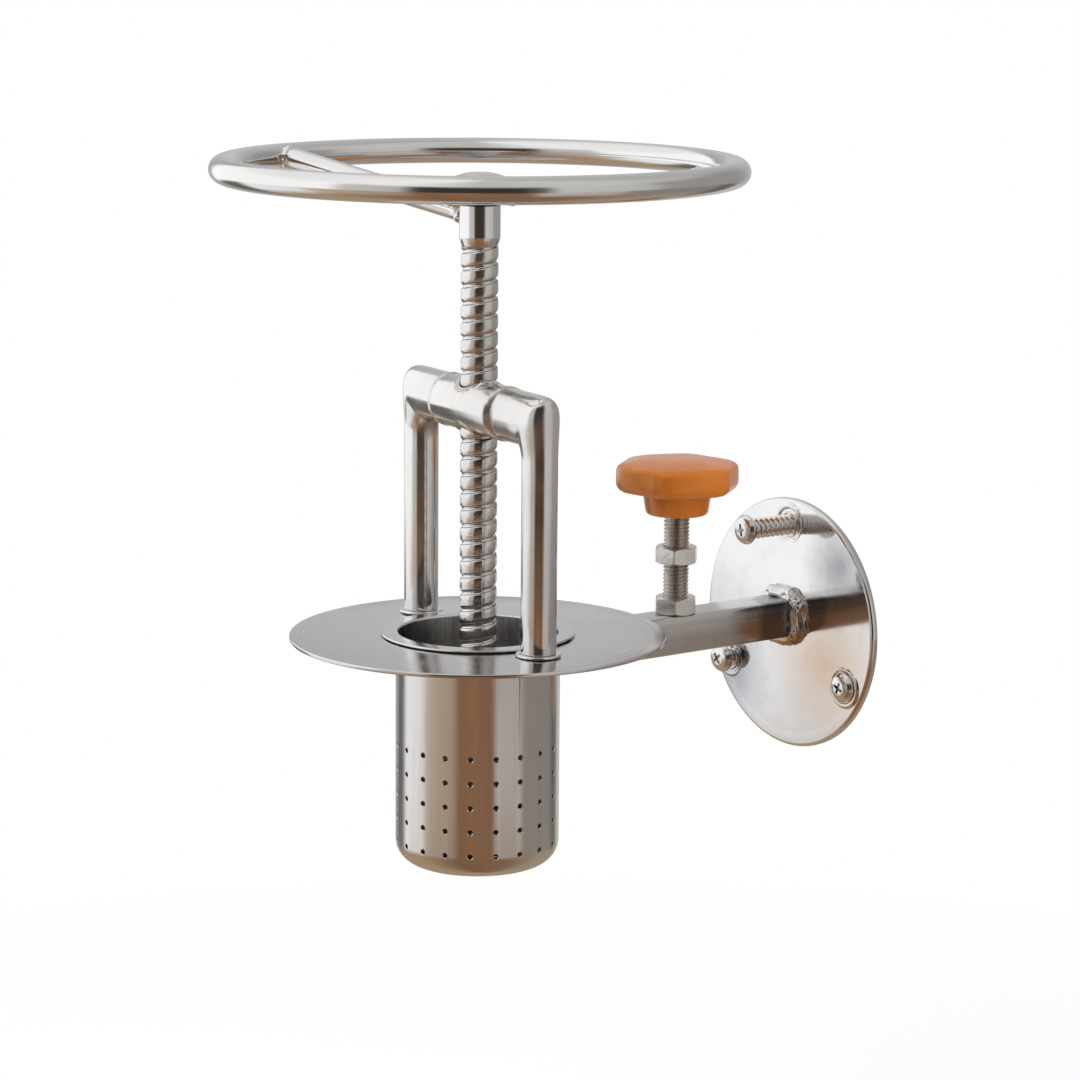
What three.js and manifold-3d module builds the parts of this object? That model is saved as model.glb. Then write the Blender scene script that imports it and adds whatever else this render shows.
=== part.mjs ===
import * as THREE from 'three';
import { mergeVertices } from 'three/addons/utils/BufferGeometryUtils.js';
import Module from 'manifold-3d';

const wasm = await Module();
wasm.setup();

// Sevai maker for a wall: a handwheel screw press held out on a square arm. Millimetres, +Z up.
// The origin is the centre of the flange's back, the wall lies on +Y, and the press stands out towards -Y.

// Clearances
const fitGap = 0.3;
const seatGap = 0.05;

// Wall flange: a pressed disc with a curled edge and three dimpled screw holes
const flangeDia = 100.2;
const flangeEdgeDepth = 3;
const flangeEdgeWidth = 3;
const flangeSheet = 1.5;
const flangeCrown = 2;
const flangeSeatDia = 32;
const screwFromEdge = 10.1;
const screwHoleClear = 0.3;
const dimpleDia = 13.6;
const dimpleDepth = 1.1;
const dimpleLip = 0.9;
const dimpleWall = 1.2;

// Wall screws: pan heads over a coarse thread, each driven in by its own amount
const wallScrewDia = 8.2;
const wallScrewCore = 5.6;
const wallScrewPitch = 2.5;
const wallScrewTip = 4;
const wallScrewTipDia = 2;
const headDia = 11.7;
const headHeight = 3.4;
const headEdge = 1;
const headShoulderDia = 9.6;
const headShoulderHeight = 2.5;
const headCrownDia = 5.8;
const headCrownHeight = 3.2;
const recessWidth = 1.5;
const recessSpan = 6.2;
const recessDepth = 1.8;
const topScrewTurn = 90;
const leftScrewTurn = 210;
const rightScrewTurn = 330;
const longScrew = 32;
const shortScrew = 11;
const topScrewGap = 21.9;
const leftScrewGap = 4.2;

// Square arm, and the bar of the press that slides in it
const armSize = 15;
const armWall = 1.5;
const armDrop = 3.2;
const armUnderlap = 8;
const weldReach = 3;
const weldThick = 3.2;
const weldToeDia = 30;
const weldToeHeight = 1.1;
const weldTopDia = 18.6;
const barEnd = 140;
const barBlockLength = 20;
const barBlockGap = 4;
const barWeldLeg = 3;
const barWeldInset = 1;

// Clamp screw that locks the bar
const clampFromAxis = 94.4;
const clampDia = 9.9;
const clampPitch = 1.5;
const clampThreadDepth = 0.55;
const clampTipChamfer = 1;
const clampPadThick = 1.5;
const clampPadDia = 8.6;
const clampTop = 50;
const nutAcross = 15.4;
const nutHeight = 6.6;
const nutChamfer = 1.1;
const nutFaceInset = 0.4;
const weldedNutTurn = 21;
const lockNutRise = 16.7;
const lockNutTurn = 16;

// Knob on the clamp screw
const knobCornerDia = 51.8;
const knobCornerRound = 8;
const knobTurn = 8;
const knobTop = 58;
const knobShoulder = 44.8;
const knobCrown = 2.6;
const knobEdgeRound = 3;
const knobUnderRound = 4;
const knobFaceDia = 32;
const knobFaceDrop = 0.9;
const knobSkirtTopDia = 27;
const knobSkirtDia = 24;
const knobSkirtBottom = 35.8;
const knobSkirtRound = 0.9;

// Support plate, which stands this far from the wall and above the flange's centre
const reach = 155.2;
const plateRise = 14.1;
const plateDia = 140.4;
const plateThick = 1.5;
const plateEdge = 0.5;

// Cup: a drawn cylinder with a flange, holes in its side and a pierced floor
const cupDia = 61.4;
const cupWall = 0.9;
const cupDepth = 87.3;
const cupCorner = 9;
const cupFlangeDia = 72.6;
const cupFlangeThick = 1.2;
const cupLipRound = 0.8;
const cupHoleClear = 0.5;
const sideHoleDia = 1.9;
const sideRows = 5;
const sideColumns = 20;
const topRowDepth = 41.1;
const rowPitch = 9.2;
const columnTurn = -4.5;
const floorHoleDia = 2;
const floorHolePitch = 6.8;
const floorRings = 3;

// Yoke: two round legs, whose upper ends turn inwards and are welded to a threaded sleeve
const postDia = 13.1;
const postSpacing = 90;
const postTopRound = 4.5;
const yokeTurn = -6.57;
const yokeTop = 95.2;
const barHeight = 19.5;
const barDepth = 16.6;
const barRound = 7.6;
const sleeveDia = 19.8;
const sleeveLength = 40;
const beadWidth = 2.4;
const beadDia = 21.2;
const beadRound = 0.7;
const bushWall = 1.65;
const bushProud = 0.5;
const studDia = 10;
const studEnd = 0.8;
const studChamfer = 0.8;
const footNutHeight = 4;
const washerDia = 16.7;
const washerThick = 1.2;

// Press screw with its rounded, wide lands
const spindleDia = 13.8;
const spindlePitch = 6.35;
const spindleGroove = 0.75;
const grooveWidth = 2.1;
const spindleClear = 0.35;
const spindleChamfer = 1.2;
const pinDia = 10;
const pinRecess = 0.4;

// Piston on the lower end of the screw
const pistonBottom = -36.5;
const pistonThick = 8;
const pistonGap = 0.6;
const pistonBossDia = 22;
const pistonBossHeight = 4;
const pistonEdge = 1;
const pistonNutDia = 17;
const pistonNutHeight = 4.6;
const pistonNutRecess = 5.5;
const thrustDia = 20;
const thrustThick = 1.5;

// Handwheel
const rimRadius = 93.4;
const rimTubeDia = 10.3;
const rimHeight = 172.6;
const hubDia = 15.2;
const hubBottom = 144.6;
const hubTaper = 2.9;
const hubTaperDia = 13.2;
const hubTop = 159.6;
const hubRoof = 2.7;
const capDia = 24.6;
const capHeight = 11.9;
const capEdge = 3.6;
const capCrown = 2.4;
const capFaceDia = 8;
const capFaceDrop = 0.3;
const capUnder = 2;
const spokeDia = 8.2;
const leftSpokeTurn = 199;
const rearSpokeTurn = 79;
const frontSpokeTurn = 319;
const leftSpokeHeight = 155.5;
const leftSpokeRimHeight = 173.5;
const rearSpokeHeight = 163.2;
const rearSpokeRimHeight = 165.6;
const frontSpokeHeight = 165;
const frontSpokeRimHeight = 171.6;

// How finely the round surfaces are divided
const smallSides = 10;
const midSides = 18;
const cupSides = 40;
const wideSides = 48;
const spindleSides = 12;
const holeSides = 5;
const arcSteps = 3;
const cornerSteps = 4;
const edgeArc = 75;

// Cutters run past the faces they cut by this much, and corners closer than this are one
const through = 1;
const sameCorner = 1e-4;

const degree = Math.PI / 180;
const hexSides = 6;

// Finishes
const polished = new THREE.MeshStandardMaterial({ color: 0xc9c7c3, roughness: 0.16, metalness: 1 });
const satin = new THREE.MeshStandardMaterial({ color: 0xb4b3b1, roughness: 0.38, metalness: 1 });
const brushed = new THREE.MeshStandardMaterial({ color: 0x9d9791, roughness: 0.45, metalness: 1 });
const weldTint = new THREE.MeshStandardMaterial({ color: 0xa9855b, roughness: 0.4, metalness: 1 });
const hardware = new THREE.MeshStandardMaterial({ color: 0x98918a, roughness: 0.35, metalness: 1 });
const bronze = new THREE.MeshStandardMaterial({ color: 0xa8824c, roughness: 0.4, metalness: 1 });
const orange = new THREE.MeshStandardMaterial({ color: 0xcf6f24, roughness: 0.28, metalness: 0 });

// One closed body from a geometry: shared corners, no flattened faces, all of them facing outwards
function closed(geometry) {
  const bare = geometry.clone();
  bare.deleteAttribute('normal');
  bare.deleteAttribute('uv');
  const merged = mergeVertices(bare, sameCorner);
  const place = merged.getAttribute('position');
  const cornerAt = (_, i) => new THREE.Vector3().fromBufferAttribute(place, i);
  const corner = Array.from({ length: place.count }, cornerAt);
  const faces = [];
  let volume = 0;
  for (let i = 0; i < merged.index.count; i += 3) {
    const face = [0, 1, 2].map((step) => merged.index.getX(i + step));
    if (new Set(face).size < 3) continue;
    const [a, b, c] = face.map((id) => corner[id]);
    volume += a.dot(new THREE.Vector3().crossVectors(b, c)) / 6;
    faces.push(face);
  }
  if (volume < 0) faces.forEach((face) => face.reverse());
  merged.setIndex(faces.flat());
  return merged;
}

function solidOf(geometry) {
  const ready = closed(geometry);
  const vertProperties = new Float32Array(ready.getAttribute('position').array);
  const triVerts = new Uint32Array(ready.index.array);
  return new wasm.Manifold(new wasm.Mesh({ numProp: 3, vertProperties, triVerts }));
}

function geometryOf(solid) {
  const mesh = solid.getMesh();
  const geometry = new THREE.BufferGeometry();
  geometry.setAttribute('position', new THREE.BufferAttribute(new Float32Array(mesh.vertProperties), 3));
  geometry.setIndex(Array.from(mesh.triVerts));
  return geometry;
}

function cut(base, tools) {
  return geometryOf(tools.reduce((left, tool) => left.subtract(solidOf(tool)), solidOf(base)));
}

function join(pieces) {
  return geometryOf(pieces.map(solidOf).reduce((all, piece) => all.add(piece)));
}

function common(first, second) {
  return geometryOf(solidOf(first).intersect(solidOf(second)));
}

// A body turned about Z from [radius, height] points, which start and end on the axis or close on themselves
function turned(points, sides) {
  const outline = points.map(([radius, height]) => new THREE.Vector2(radius, height));
  return new THREE.LatheGeometry(outline, sides).rotateX(Math.PI / 2);
}

function rod(radius, low, high, sides) {
  return turned([[0, low], [radius, low], [radius, high], [0, high]], sides);
}

function ring(inner, outer, low, high, sides) {
  return turned([[inner, low], [outer, low], [outer, high], [inner, high], [inner, low]], sides);
}

// Points of a quarter turn in a profile, from one angle to another
function arc(radius, centreRadius, centreHeight, from, to) {
  return Array.from({ length: arcSteps + 1 }, (_, i) => {
    const angle = (from + (to - from) * i / arcSteps) * degree;
    return [centreRadius + radius * Math.cos(angle), centreHeight + radius * Math.sin(angle)];
  });
}

function box(width, depth, height) {
  return new THREE.BoxGeometry(width, depth, height);
}

function extruded(shape, length) {
  const options = { depth: length, bevelEnabled: false, curveSegments: cornerSteps };
  return new THREE.ExtrudeGeometry(shape, options);
}

function polygon(corners) {
  return new THREE.Shape(corners.map(([x, y]) => new THREE.Vector2(x, y)));
}

function roundedRectangle(width, height, radius) {
  const x = width / 2 - radius;
  const y = height / 2 - radius;
  const shape = new THREE.Shape();
  shape.absarc(x, y, radius, 0, Math.PI / 2);
  shape.absarc(-x, y, radius, Math.PI / 2, Math.PI);
  shape.absarc(-x, -y, radius, Math.PI, 1.5 * Math.PI);
  shape.absarc(x, -y, radius, 1.5 * Math.PI, 2 * Math.PI);
  return shape;
}

// A helical thread about Z: each profile point is [radius, rise], and the rises lie within one pitch.
// The ends run past the wanted length as cones, and a turned blank trims them.
function thread(profile, pitch, low, high, sides) {
  const steps = Math.ceil((high - low) / pitch + 2) * sides;
  const start = low - 1.5 * pitch;
  const corners = [];
  const faces = [];
  const id = (step, point) => step * profile.length + point;
  for (let step = 0; step <= steps + sides; step += 1) {
    const angle = 2 * Math.PI * (step % sides) / sides;
    for (const [radius, rise] of profile) {
      corners.push(radius * Math.cos(angle), radius * Math.sin(angle), start + pitch * step / sides + rise);
    }
  }
  const rightOf = (step, point) => (point + 1 < profile.length ? id(step, point + 1) : id(step + sides, 0));
  for (let step = 0; step < steps; step += 1) {
    for (let point = 0; point < profile.length; point += 1) {
      faces.push(id(step, point), id(step + 1, point), rightOf(step + 1, point));
      faces.push(id(step, point), rightOf(step + 1, point), rightOf(step, point));
    }
  }
  const bottom = corners.length / 3;
  corners.push(0, 0, start - pitch);
  const top = bottom + 1;
  corners.push(0, 0, start + pitch * (steps / sides + 2));
  for (let step = 0; step < sides; step += 1) {
    faces.push(bottom, id(step + 1, 0), id(step, 0));
    faces.push(top, id(steps + step, 0), id(steps + step + 1, 0));
  }
  for (let point = 0; point < profile.length; point += 1) {
    faces.push(bottom, id(0, point), rightOf(0, point));
    faces.push(top, rightOf(steps, point), id(steps, point));
  }
  const geometry = new THREE.BufferGeometry();
  geometry.setAttribute('position', new THREE.BufferAttribute(new Float32Array(corners), 3));
  geometry.setIndex(faces);
  return used(geometry);
}

// The corners that the faces use, without the spare ones of the last turn
function used(geometry) {
  const flat = geometry.toNonIndexed();
  return mergeVertices(flat, sameCorner);
}

function mesh(name, geometry, material) {
  const piece = new THREE.Mesh(closed(geometry), material);
  piece.name = name;
  return piece;
}

function group(...pieces) {
  const together = new THREE.Group();
  together.add(...pieces);
  return together;
}

// A hexagonal nut standing on z = 0, its corners taken down by a turned blank
function hexNut(across, height, bore) {
  const cornerRadius = across / 2 / Math.cos(Math.PI / hexSides);
  const corners = Array.from({ length: hexSides }, (_, i) => {
    const angle = i * 2 * Math.PI / hexSides;
    return [cornerRadius * Math.cos(angle), cornerRadius * Math.sin(angle)];
  });
  const inner = across / 2 - nutFaceInset;
  const outer = cornerRadius + fitGap;
  const blank = turned([
    [0, 0], [inner, 0], [outer, nutChamfer], [outer, height - nutChamfer], [inner, height], [0, height],
  ], midSides);
  const prism = extruded(polygon(corners), height);
  return cut(common(prism, blank), [rod(bore / 2, -through, height + through, smallSides)]);
}

// Heights on the square arm, from the plate's top
const armTop = -armDrop;
const armBottom = armTop - armSize;
const armMiddle = armTop - armSize / 2;
const armBore = armSize - 2 * armWall;
const flangeFront = flangeEdgeDepth + flangeCrown;
const plateRadius = plateDia / 2;
const armFront = plateRadius - armUnderlap;

// The flange's face slopes from its seat down to its edge, and the dimples' lips stand just above the slope
const slopeOuter = flangeDia / 2 - flangeEdgeWidth;
const screwRadius = flangeDia / 2 - screwFromEdge;
const slopeShare = (slopeOuter - screwRadius) / (slopeOuter - flangeSeatDia / 2);
const dimpleRim = flangeEdgeDepth + flangeCrown * slopeShare + dimpleLip;
const dimpleFloor = dimpleRim - dimpleDepth;

// Wall flange, modelled with +Z away from the wall
function wallFlange() {
  const outer = flangeDia / 2;
  const seat = flangeSeatDia / 2;
  const edgeRound = flangeEdgeWidth / 2;
  const skin = turned([
    [0, flangeFront - flangeSheet],
    [seat, flangeFront - flangeSheet],
    [slopeOuter, flangeEdgeDepth - flangeSheet],
    [slopeOuter, 0],
    [outer, 0],
    ...arc(edgeRound, outer - edgeRound, flangeEdgeDepth - edgeRound, 0, 90),
    [slopeOuter, flangeEdgeDepth],
    [seat, flangeFront],
    [0, flangeFront],
  ], wideSides);
  const dimples = [];
  const sinks = [];
  for (const turn of [topScrewTurn, leftScrewTurn, rightScrewTurn]) {
    const x = screwRadius * Math.cos(turn * degree);
    const y = screwRadius * Math.sin(turn * degree);
    const bossRadius = dimpleDia / 2 + dimpleWall;
    const hole = wallScrewDia / 2 + screwHoleClear;
    dimples.push(rod(bossRadius, dimpleFloor - dimpleWall, dimpleRim, midSides).translate(x, y, 0));
    sinks.push(rod(dimpleDia / 2, dimpleFloor, dimpleRim + through, midSides).translate(x, y, 0));
    sinks.push(rod(hole, -through, dimpleRim, smallSides).translate(x, y, 0));
  }
  return cut(join([skin, ...dimples]), sinks);
}

// Pan-head screw with its head's underside on z = 0 and its tip below
function wallScrew(length) {
  const radius = wallScrewDia / 2;
  const core = wallScrewCore / 2;
  const profile = [[core, 0], [radius, wallScrewPitch / 2]];
  const wide = radius + through;
  const blank = turned([
    [0, -length],
    [wallScrewTipDia / 2, -length],
    [wide, wallScrewTip - length],
    [wide, headEdge],
    [0, headEdge],
  ], smallSides);
  const shank = common(thread(profile, wallScrewPitch, -length, 0, smallSides), blank);
  const dome = turned([
    [0, 0],
    [headDia / 2, 0],
    [headDia / 2, headEdge],
    [headShoulderDia / 2, headShoulderHeight],
    [headCrownDia / 2, headCrownHeight],
    [0, headHeight],
  ], midSides);
  const slots = [0, 90].map((turn) => box(recessSpan, recessWidth, recessDepth * 2)
    .rotateZ(turn * degree)
    .translate(0, 0, headHeight));
  return cut(join([shank, dome]), slots);
}

function screwAt(name, turn, length, gap) {
  const piece = mesh(name, wallScrew(length), hardware);
  const x = screwRadius * Math.cos(turn * degree);
  const y = screwRadius * Math.sin(turn * degree);
  piece.position.set(x, y, dimpleFloor + seatGap + gap);
  return piece;
}

// Weld bead round the arm where it meets the flange
function flangeWeld() {
  const span = armSize + 2 * weldReach;
  const bead = extruded(roundedRectangle(span, span, weldReach), weldThick);
  const softened = turned([
    [0, 0],
    [weldToeDia / 2, 0],
    [weldToeDia / 2, weldToeHeight],
    [weldTopDia / 2, weldThick],
    [0, weldThick],
  ], midSides);
  const throat = armSize + 2 * seatGap;
  return cut(common(bead, softened), [box(throat, throat, 3 * weldThick)]);
}

// Square tube, laid along Y from under the plate to the flange
function armTube() {
  const length = reach - flangeFront - armFront;
  const middle = armFront + length / 2;
  const tube = box(armSize, length, armSize).translate(0, middle, armMiddle);
  const hollow = box(armBore, length + 2 * through, armBore).translate(0, middle, armMiddle);
  const clampHole = rod(clampDia / 2 + fitGap, armMiddle, armTop + through, smallSides);
  return cut(tube, [hollow, clampHole.translate(0, clampFromAxis, 0)]);
}

// Sliding bar with the raised block that carries the plate
const barTop = armTop - armWall - fitGap;
const barBottom = armBottom + armWall + fitGap;
const barHalf = armBore / 2 - fitGap;
const blockBack = armFront - barBlockGap;
const blockFront = blockBack - barBlockLength;

function armBar() {
  const side = polygon([
    [blockFront, barBottom],
    [barEnd, barBottom],
    [barEnd, barTop],
    [blockBack, barTop],
    [blockBack, -plateThick],
    [blockFront, -plateThick],
  ]);
  return extruded(side, 2 * barHalf)
    .rotateX(Math.PI / 2)
    .rotateZ(Math.PI / 2)
    .translate(-barHalf, 0, 0);
}

function barWeld(side) {
  const inner = side * (barHalf + seatGap);
  const section = polygon([
    [inner, -plateThick - seatGap],
    [inner + side * barWeldLeg, -plateThick - seatGap],
    [inner, -plateThick - seatGap - barWeldLeg],
  ]);
  return extruded(section, barBlockLength - 2 * barWeldInset)
    .rotateX(Math.PI / 2)
    .translate(0, blockBack - barWeldInset, 0);
}

// Clamp screw
function clampRod() {
  const radius = clampDia / 2;
  const low = barTop + seatGap + clampPadThick + seatGap;
  const profile = [[radius - clampThreadDepth, 0], [radius, clampPitch / 2]];
  const threadTop = knobSkirtBottom + clampPitch;
  const tip = clampTipChamfer;
  const blank = turned([
    [0, low], [radius - tip, low], [radius + tip, low + 2 * tip], [radius + tip, threadTop], [0, threadTop],
  ], smallSides);
  const threaded = common(thread(profile, clampPitch, low, threadTop, smallSides), blank);
  const plain = rod(radius - clampThreadDepth, threadTop - clampPitch, clampTop, smallSides);
  return join([threaded, plain]);
}

function knobSection(roundness) {
  const cornerRadius = knobCornerDia / 2;
  const halfSide = Math.PI / hexSides;
  const inset = roundness / Math.cos(halfSide);
  const shape = new THREE.Shape();
  for (let i = 0; i < hexSides; i += 1) {
    const angle = i * 2 * halfSide;
    const x = (cornerRadius - inset) * Math.cos(angle);
    const y = (cornerRadius - inset) * Math.sin(angle);
    shape.absarc(x, y, roundness, angle - halfSide, angle + halfSide);
  }
  return shape;
}

function knob() {
  const wide = knobCornerDia / 2 + through;
  const prism = extruded(knobSection(knobCornerRound), knobTop - knobShoulder).translate(0, 0, knobShoulder);
  const blank = turned([
    [0, knobShoulder],
    ...arc(knobUnderRound, wide - knobUnderRound, knobShoulder + knobUnderRound, -90, 0),
    ...arc(knobEdgeRound, wide - knobEdgeRound, knobTop - knobCrown - knobEdgeRound, 0, edgeArc),
    [knobFaceDia / 2, knobTop - knobFaceDrop],
    [0, knobTop],
  ], midSides * 2);
  const skirt = turned([
    [0, knobSkirtBottom],
    [knobSkirtDia / 2 - knobSkirtRound, knobSkirtBottom],
    [knobSkirtDia / 2, knobSkirtBottom + knobSkirtRound],
    [knobSkirtTopDia / 2, knobShoulder + through],
    [0, knobShoulder + through],
  ], midSides);
  const bore = rod(clampDia / 2 + fitGap, knobSkirtBottom - through, clampTop + fitGap, smallSides);
  return cut(join([common(prism, blank), skirt]), [bore]);
}

// Support plate
const postFromAxis = postSpacing / 2;

function supportPlate() {
  const disc = turned([
    [cupDia / 2 + cupHoleClear, -plateThick],
    [plateRadius - plateEdge, -plateThick],
    [plateRadius, plateEdge - plateThick],
    [plateRadius, -plateEdge],
    [plateRadius - plateEdge, 0],
    [cupDia / 2 + cupHoleClear, 0],
    [cupDia / 2 + cupHoleClear, -plateThick],
  ], wideSides);
  const holeRadius = studDia / 2 + fitGap;
  const studHoles = [-1, 1].map((side) => rod(holeRadius, -plateThick - through, through, smallSides)
    .translate(side * postFromAxis, 0, 0)
    .rotateZ(yokeTurn * degree));
  return cut(disc, studHoles);
}

// Cup
function cup() {
  const outer = cupDia / 2;
  const inner = outer - cupWall;
  const flange = cupFlangeDia / 2;
  const bottom = -cupDepth;
  const shell = turned([
    [0, bottom],
    ...arc(cupCorner, outer - cupCorner, bottom + cupCorner, -90, 0),
    [outer, 0],
    [flange, 0],
    [flange, cupFlangeThick],
    [inner + cupLipRound, cupFlangeThick],
    [inner, cupFlangeThick - cupLipRound],
    ...arc(cupCorner - cupWall, outer - cupCorner, bottom + cupCorner, 0, -90),
    [0, bottom + cupWall],
  ], cupSides);
  const holes = [];
  for (let row = 0; row < sideRows; row += 1) {
    for (let column = 0; column < sideColumns; column += 1) {
      const turn = (columnTurn + 360 / sideColumns * column) * degree;
      holes.push(rod(sideHoleDia / 2, inner - cupWall, outer + cupWall, holeSides)
        .rotateY(Math.PI / 2)
        .rotateZ(turn)
        .translate(0, 0, -topRowDepth - rowPitch * row));
    }
  }
  for (const [x, y] of hexagonalPattern(floorRings, floorHolePitch)) {
    const hole = rod(floorHoleDia / 2, bottom - through, bottom + cupWall + through, holeSides);
    holes.push(hole.translate(x, y, 0));
  }
  return cut(shell, holes);
}

// Centres of a hexagonal field of holes, ring by ring
function hexagonalPattern(rings, pitch) {
  const centres = [];
  for (let i = -rings; i <= rings; i += 1) {
    for (let j = Math.max(-rings, -rings - i); j <= Math.min(rings, rings - i); j += 1) {
      centres.push([pitch * (i + j / 2), pitch * j * Math.sin(Math.PI / 3)]);
    }
  }
  return centres;
}

// Yoke, modelled with its bar along X; side is -1 for the left leg and 1 for the right
const barMiddle = yokeTop - barHeight / 2;
const bushBore = spindleDia / 2 + spindleClear;
const bushRadius = bushBore + bushWall;

function leg(side) {
  const post = postDia / 2;
  const stud = studDia / 2;
  const low = -plateThick - footNutHeight - studEnd;
  const upright = turned([
    [0, low],
    [stud - studChamfer, low],
    [stud, low + studChamfer],
    [stud, washerThick],
    [post, washerThick],
    ...arc(postTopRound, post - postTopRound, yokeTop - postTopRound, 0, 90),
    [0, yokeTop],
  ], midSides).translate(side * postFromAxis, 0, 0);
  const barStart = sleeveLength / 2 + beadWidth + 2 * seatGap;
  const length = postFromAxis - barStart;
  const bar = extruded(roundedRectangle(barHeight, barDepth, barRound), length)
    .rotateY(Math.PI / 2)
    .translate(side > 0 ? barStart : -postFromAxis, 0, barMiddle);
  return join([upright, bar]);
}

function sleeve() {
  const tube = rod(sleeveDia / 2, -sleeveLength / 2, sleeveLength / 2, midSides)
    .rotateY(Math.PI / 2)
    .translate(0, 0, barMiddle);
  const bushHole = rod(bushRadius + fitGap, barMiddle - sleeveDia, barMiddle + sleeveDia, midSides);
  return cut(tube, [bushHole]);
}

// Threaded bush, whose ends follow the sleeve's round surface and stand a little proud of it
function bush() {
  const tube = ring(bushBore, bushRadius, barMiddle - sleeveDia, barMiddle + sleeveDia, midSides);
  const limit = rod(sleeveDia / 2 + bushProud, -sleeveDia, sleeveDia, midSides)
    .rotateY(Math.PI / 2)
    .translate(0, 0, barMiddle);
  return common(tube, limit);
}

function bead(side) {
  const radius = beadDia / 2;
  const half = beadWidth / 2;
  const middle = sleeveLength / 2 + seatGap + half;
  return turned([
    [0, -half],
    [radius - beadRound, -half],
    [radius, beadRound - half],
    [radius, half - beadRound],
    [radius - beadRound, half],
    [0, half],
  ], midSides).rotateY(Math.PI / 2).translate(side * middle, 0, barMiddle);
}

const hubBoreTop = hubTop - hubRoof;
const neckTop = hubBoreTop - fitGap;

// Press screw, with a plain pin at its foot for the piston and a neck at its top for the hub
const bossTop = pistonBottom + pistonThick + pistonBossHeight;
const shoulder = bossTop + thrustThick + 2 * seatGap;

function spindle() {
  const radius = spindleDia / 2;
  const root = radius - spindleGroove;
  const land = spindlePitch - grooveWidth;
  const profile = [[radius, 0], [radius, land], [root, land + grooveWidth / 2]];
  const blank = turned([
    [0, shoulder],
    [root, shoulder],
    [radius + fitGap, shoulder + spindleChamfer],
    [radius + fitGap, hubBottom - seatGap],
    [0, hubBottom - seatGap],
  ], spindleSides * 2);
  const threaded = common(thread(profile, spindlePitch, shoulder, hubBottom, spindleSides), blank);
  const pin = rod(pinDia / 2, pistonBottom + pinRecess, shoulder + through, smallSides);
  const neck = rod(pinDia / 2, hubBottom - seatGap - through, neckTop, smallSides);
  return join([threaded, pin, neck]);
}

function piston() {
  const radius = cupDia / 2 - cupWall - pistonGap;
  const top = pistonBottom + pistonThick;
  const bore = pinDia / 2 + fitGap;
  const recess = pistonNutDia / 2 + fitGap;
  const recessTop = pistonBottom + pistonNutRecess;
  return turned([
    [bore, recessTop],
    [recess, recessTop],
    [recess, pistonBottom],
    [radius - pistonEdge, pistonBottom],
    [radius, pistonBottom + pistonEdge],
    [radius, top - pistonEdge],
    [radius - pistonEdge, top],
    [pistonBossDia / 2, top],
    [pistonBossDia / 2, bossTop],
    [bore, bossTop],
    [bore, recessTop],
  ], cupSides);
}

function pistonNut() {
  const high = pistonBottom + pistonNutRecess - seatGap;
  return ring(pinDia / 2 + fitGap, pistonNutDia / 2, high - pistonNutHeight, high, midSides);
}

function thrustWasher() {
  return ring(pinDia / 2 + fitGap, thrustDia / 2, bossTop, bossTop + thrustThick, midSides);
}

// Handwheel
function hub() {
  const bore = pinDia / 2 + fitGap;
  return turned([
    [bore, hubBottom],
    [hubTaperDia / 2, hubBottom],
    [hubDia / 2, hubBottom + hubTaper],
    [hubDia / 2, hubTop],
    [0, hubTop],
    [0, hubBoreTop],
    [bore, hubBoreTop],
    [bore, hubBottom],
  ], midSides);
}

function hubCap(extra = 0) {
  const radius = capDia / 2 + extra;
  const top = hubTop + capHeight + extra;
  const low = hubTop - extra;
  return turned([
    [0, low],
    [hubDia / 2 + extra, low],
    [radius, hubTop + capUnder - extra],
    ...arc(capEdge, radius - capEdge, top - capCrown - capEdge, 0, edgeArc),
    [capFaceDia / 2, top - capFaceDrop],
    [0, top],
  ], midSides);
}

function rim(extra = 0) {
  return new THREE.TorusGeometry(rimRadius, rimTubeDia / 2 + extra, smallSides, wideSides)
    .translate(0, 0, rimHeight);
}

// A spoke from the hub's middle out to the rim, coped at both ends
function spoke(turn, hubHeight, rimEndHeight) {
  const rise = rimEndHeight - hubHeight;
  const length = Math.hypot(rimRadius, rise);
  const bar = rod(spokeDia / 2, 0, length, smallSides)
    .rotateY(Math.PI / 2 - Math.atan2(rise, rimRadius))
    .rotateZ(turn * degree)
    .translate(0, 0, hubHeight);
  const sleeveCut = rod(hubDia / 2 + fitGap, hubBottom - through, hubTop, midSides);
  return cut(bar, [rim(fitGap), hubCap(fitGap), sleeveCut]);
}

function placed(piece, x, y, z, turn = 0) {
  piece.position.set(x, y, z);
  piece.rotation.z = turn * degree;
  return piece;
}

const flangeGroup = group(
  mesh('wall_flange', wallFlange(), polished),
  screwAt('wall_screw_top', topScrewTurn, longScrew, topScrewGap),
  screwAt('wall_screw_left', leftScrewTurn, shortScrew, leftScrewGap),
  screwAt('wall_screw_right', rightScrewTurn, shortScrew, 0),
);
flangeGroup.rotation.x = Math.PI / 2;

const weld = mesh('flange_weld', flangeWeld(), weldTint);
weld.rotation.x = Math.PI / 2;
weld.position.set(0, reach - flangeFront, armMiddle);

const arm = group(
  mesh('arm_tube', armTube(), brushed),
  weld,
  placed(
    mesh('welded_nut', hexNut(nutAcross, nutHeight, clampDia + 2 * fitGap), hardware),
    0, clampFromAxis, armTop, weldedNutTurn,
  ),
);

const clampPad = rod(clampPadDia / 2, barTop + seatGap, barTop + seatGap + clampPadThick, smallSides);
const clamp = placed(group(
  mesh('clamp_pad', clampPad, bronze),
  mesh('clamp_rod', clampRod(), hardware),
  placed(
    mesh('lock_nut', hexNut(nutAcross, nutHeight, clampDia + 2 * fitGap), hardware),
    0, 0, lockNutRise, lockNutTurn,
  ),
  placed(mesh('knob', knob(), orange), 0, 0, 0, knobTurn),
), 0, clampFromAxis, 0);

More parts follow.
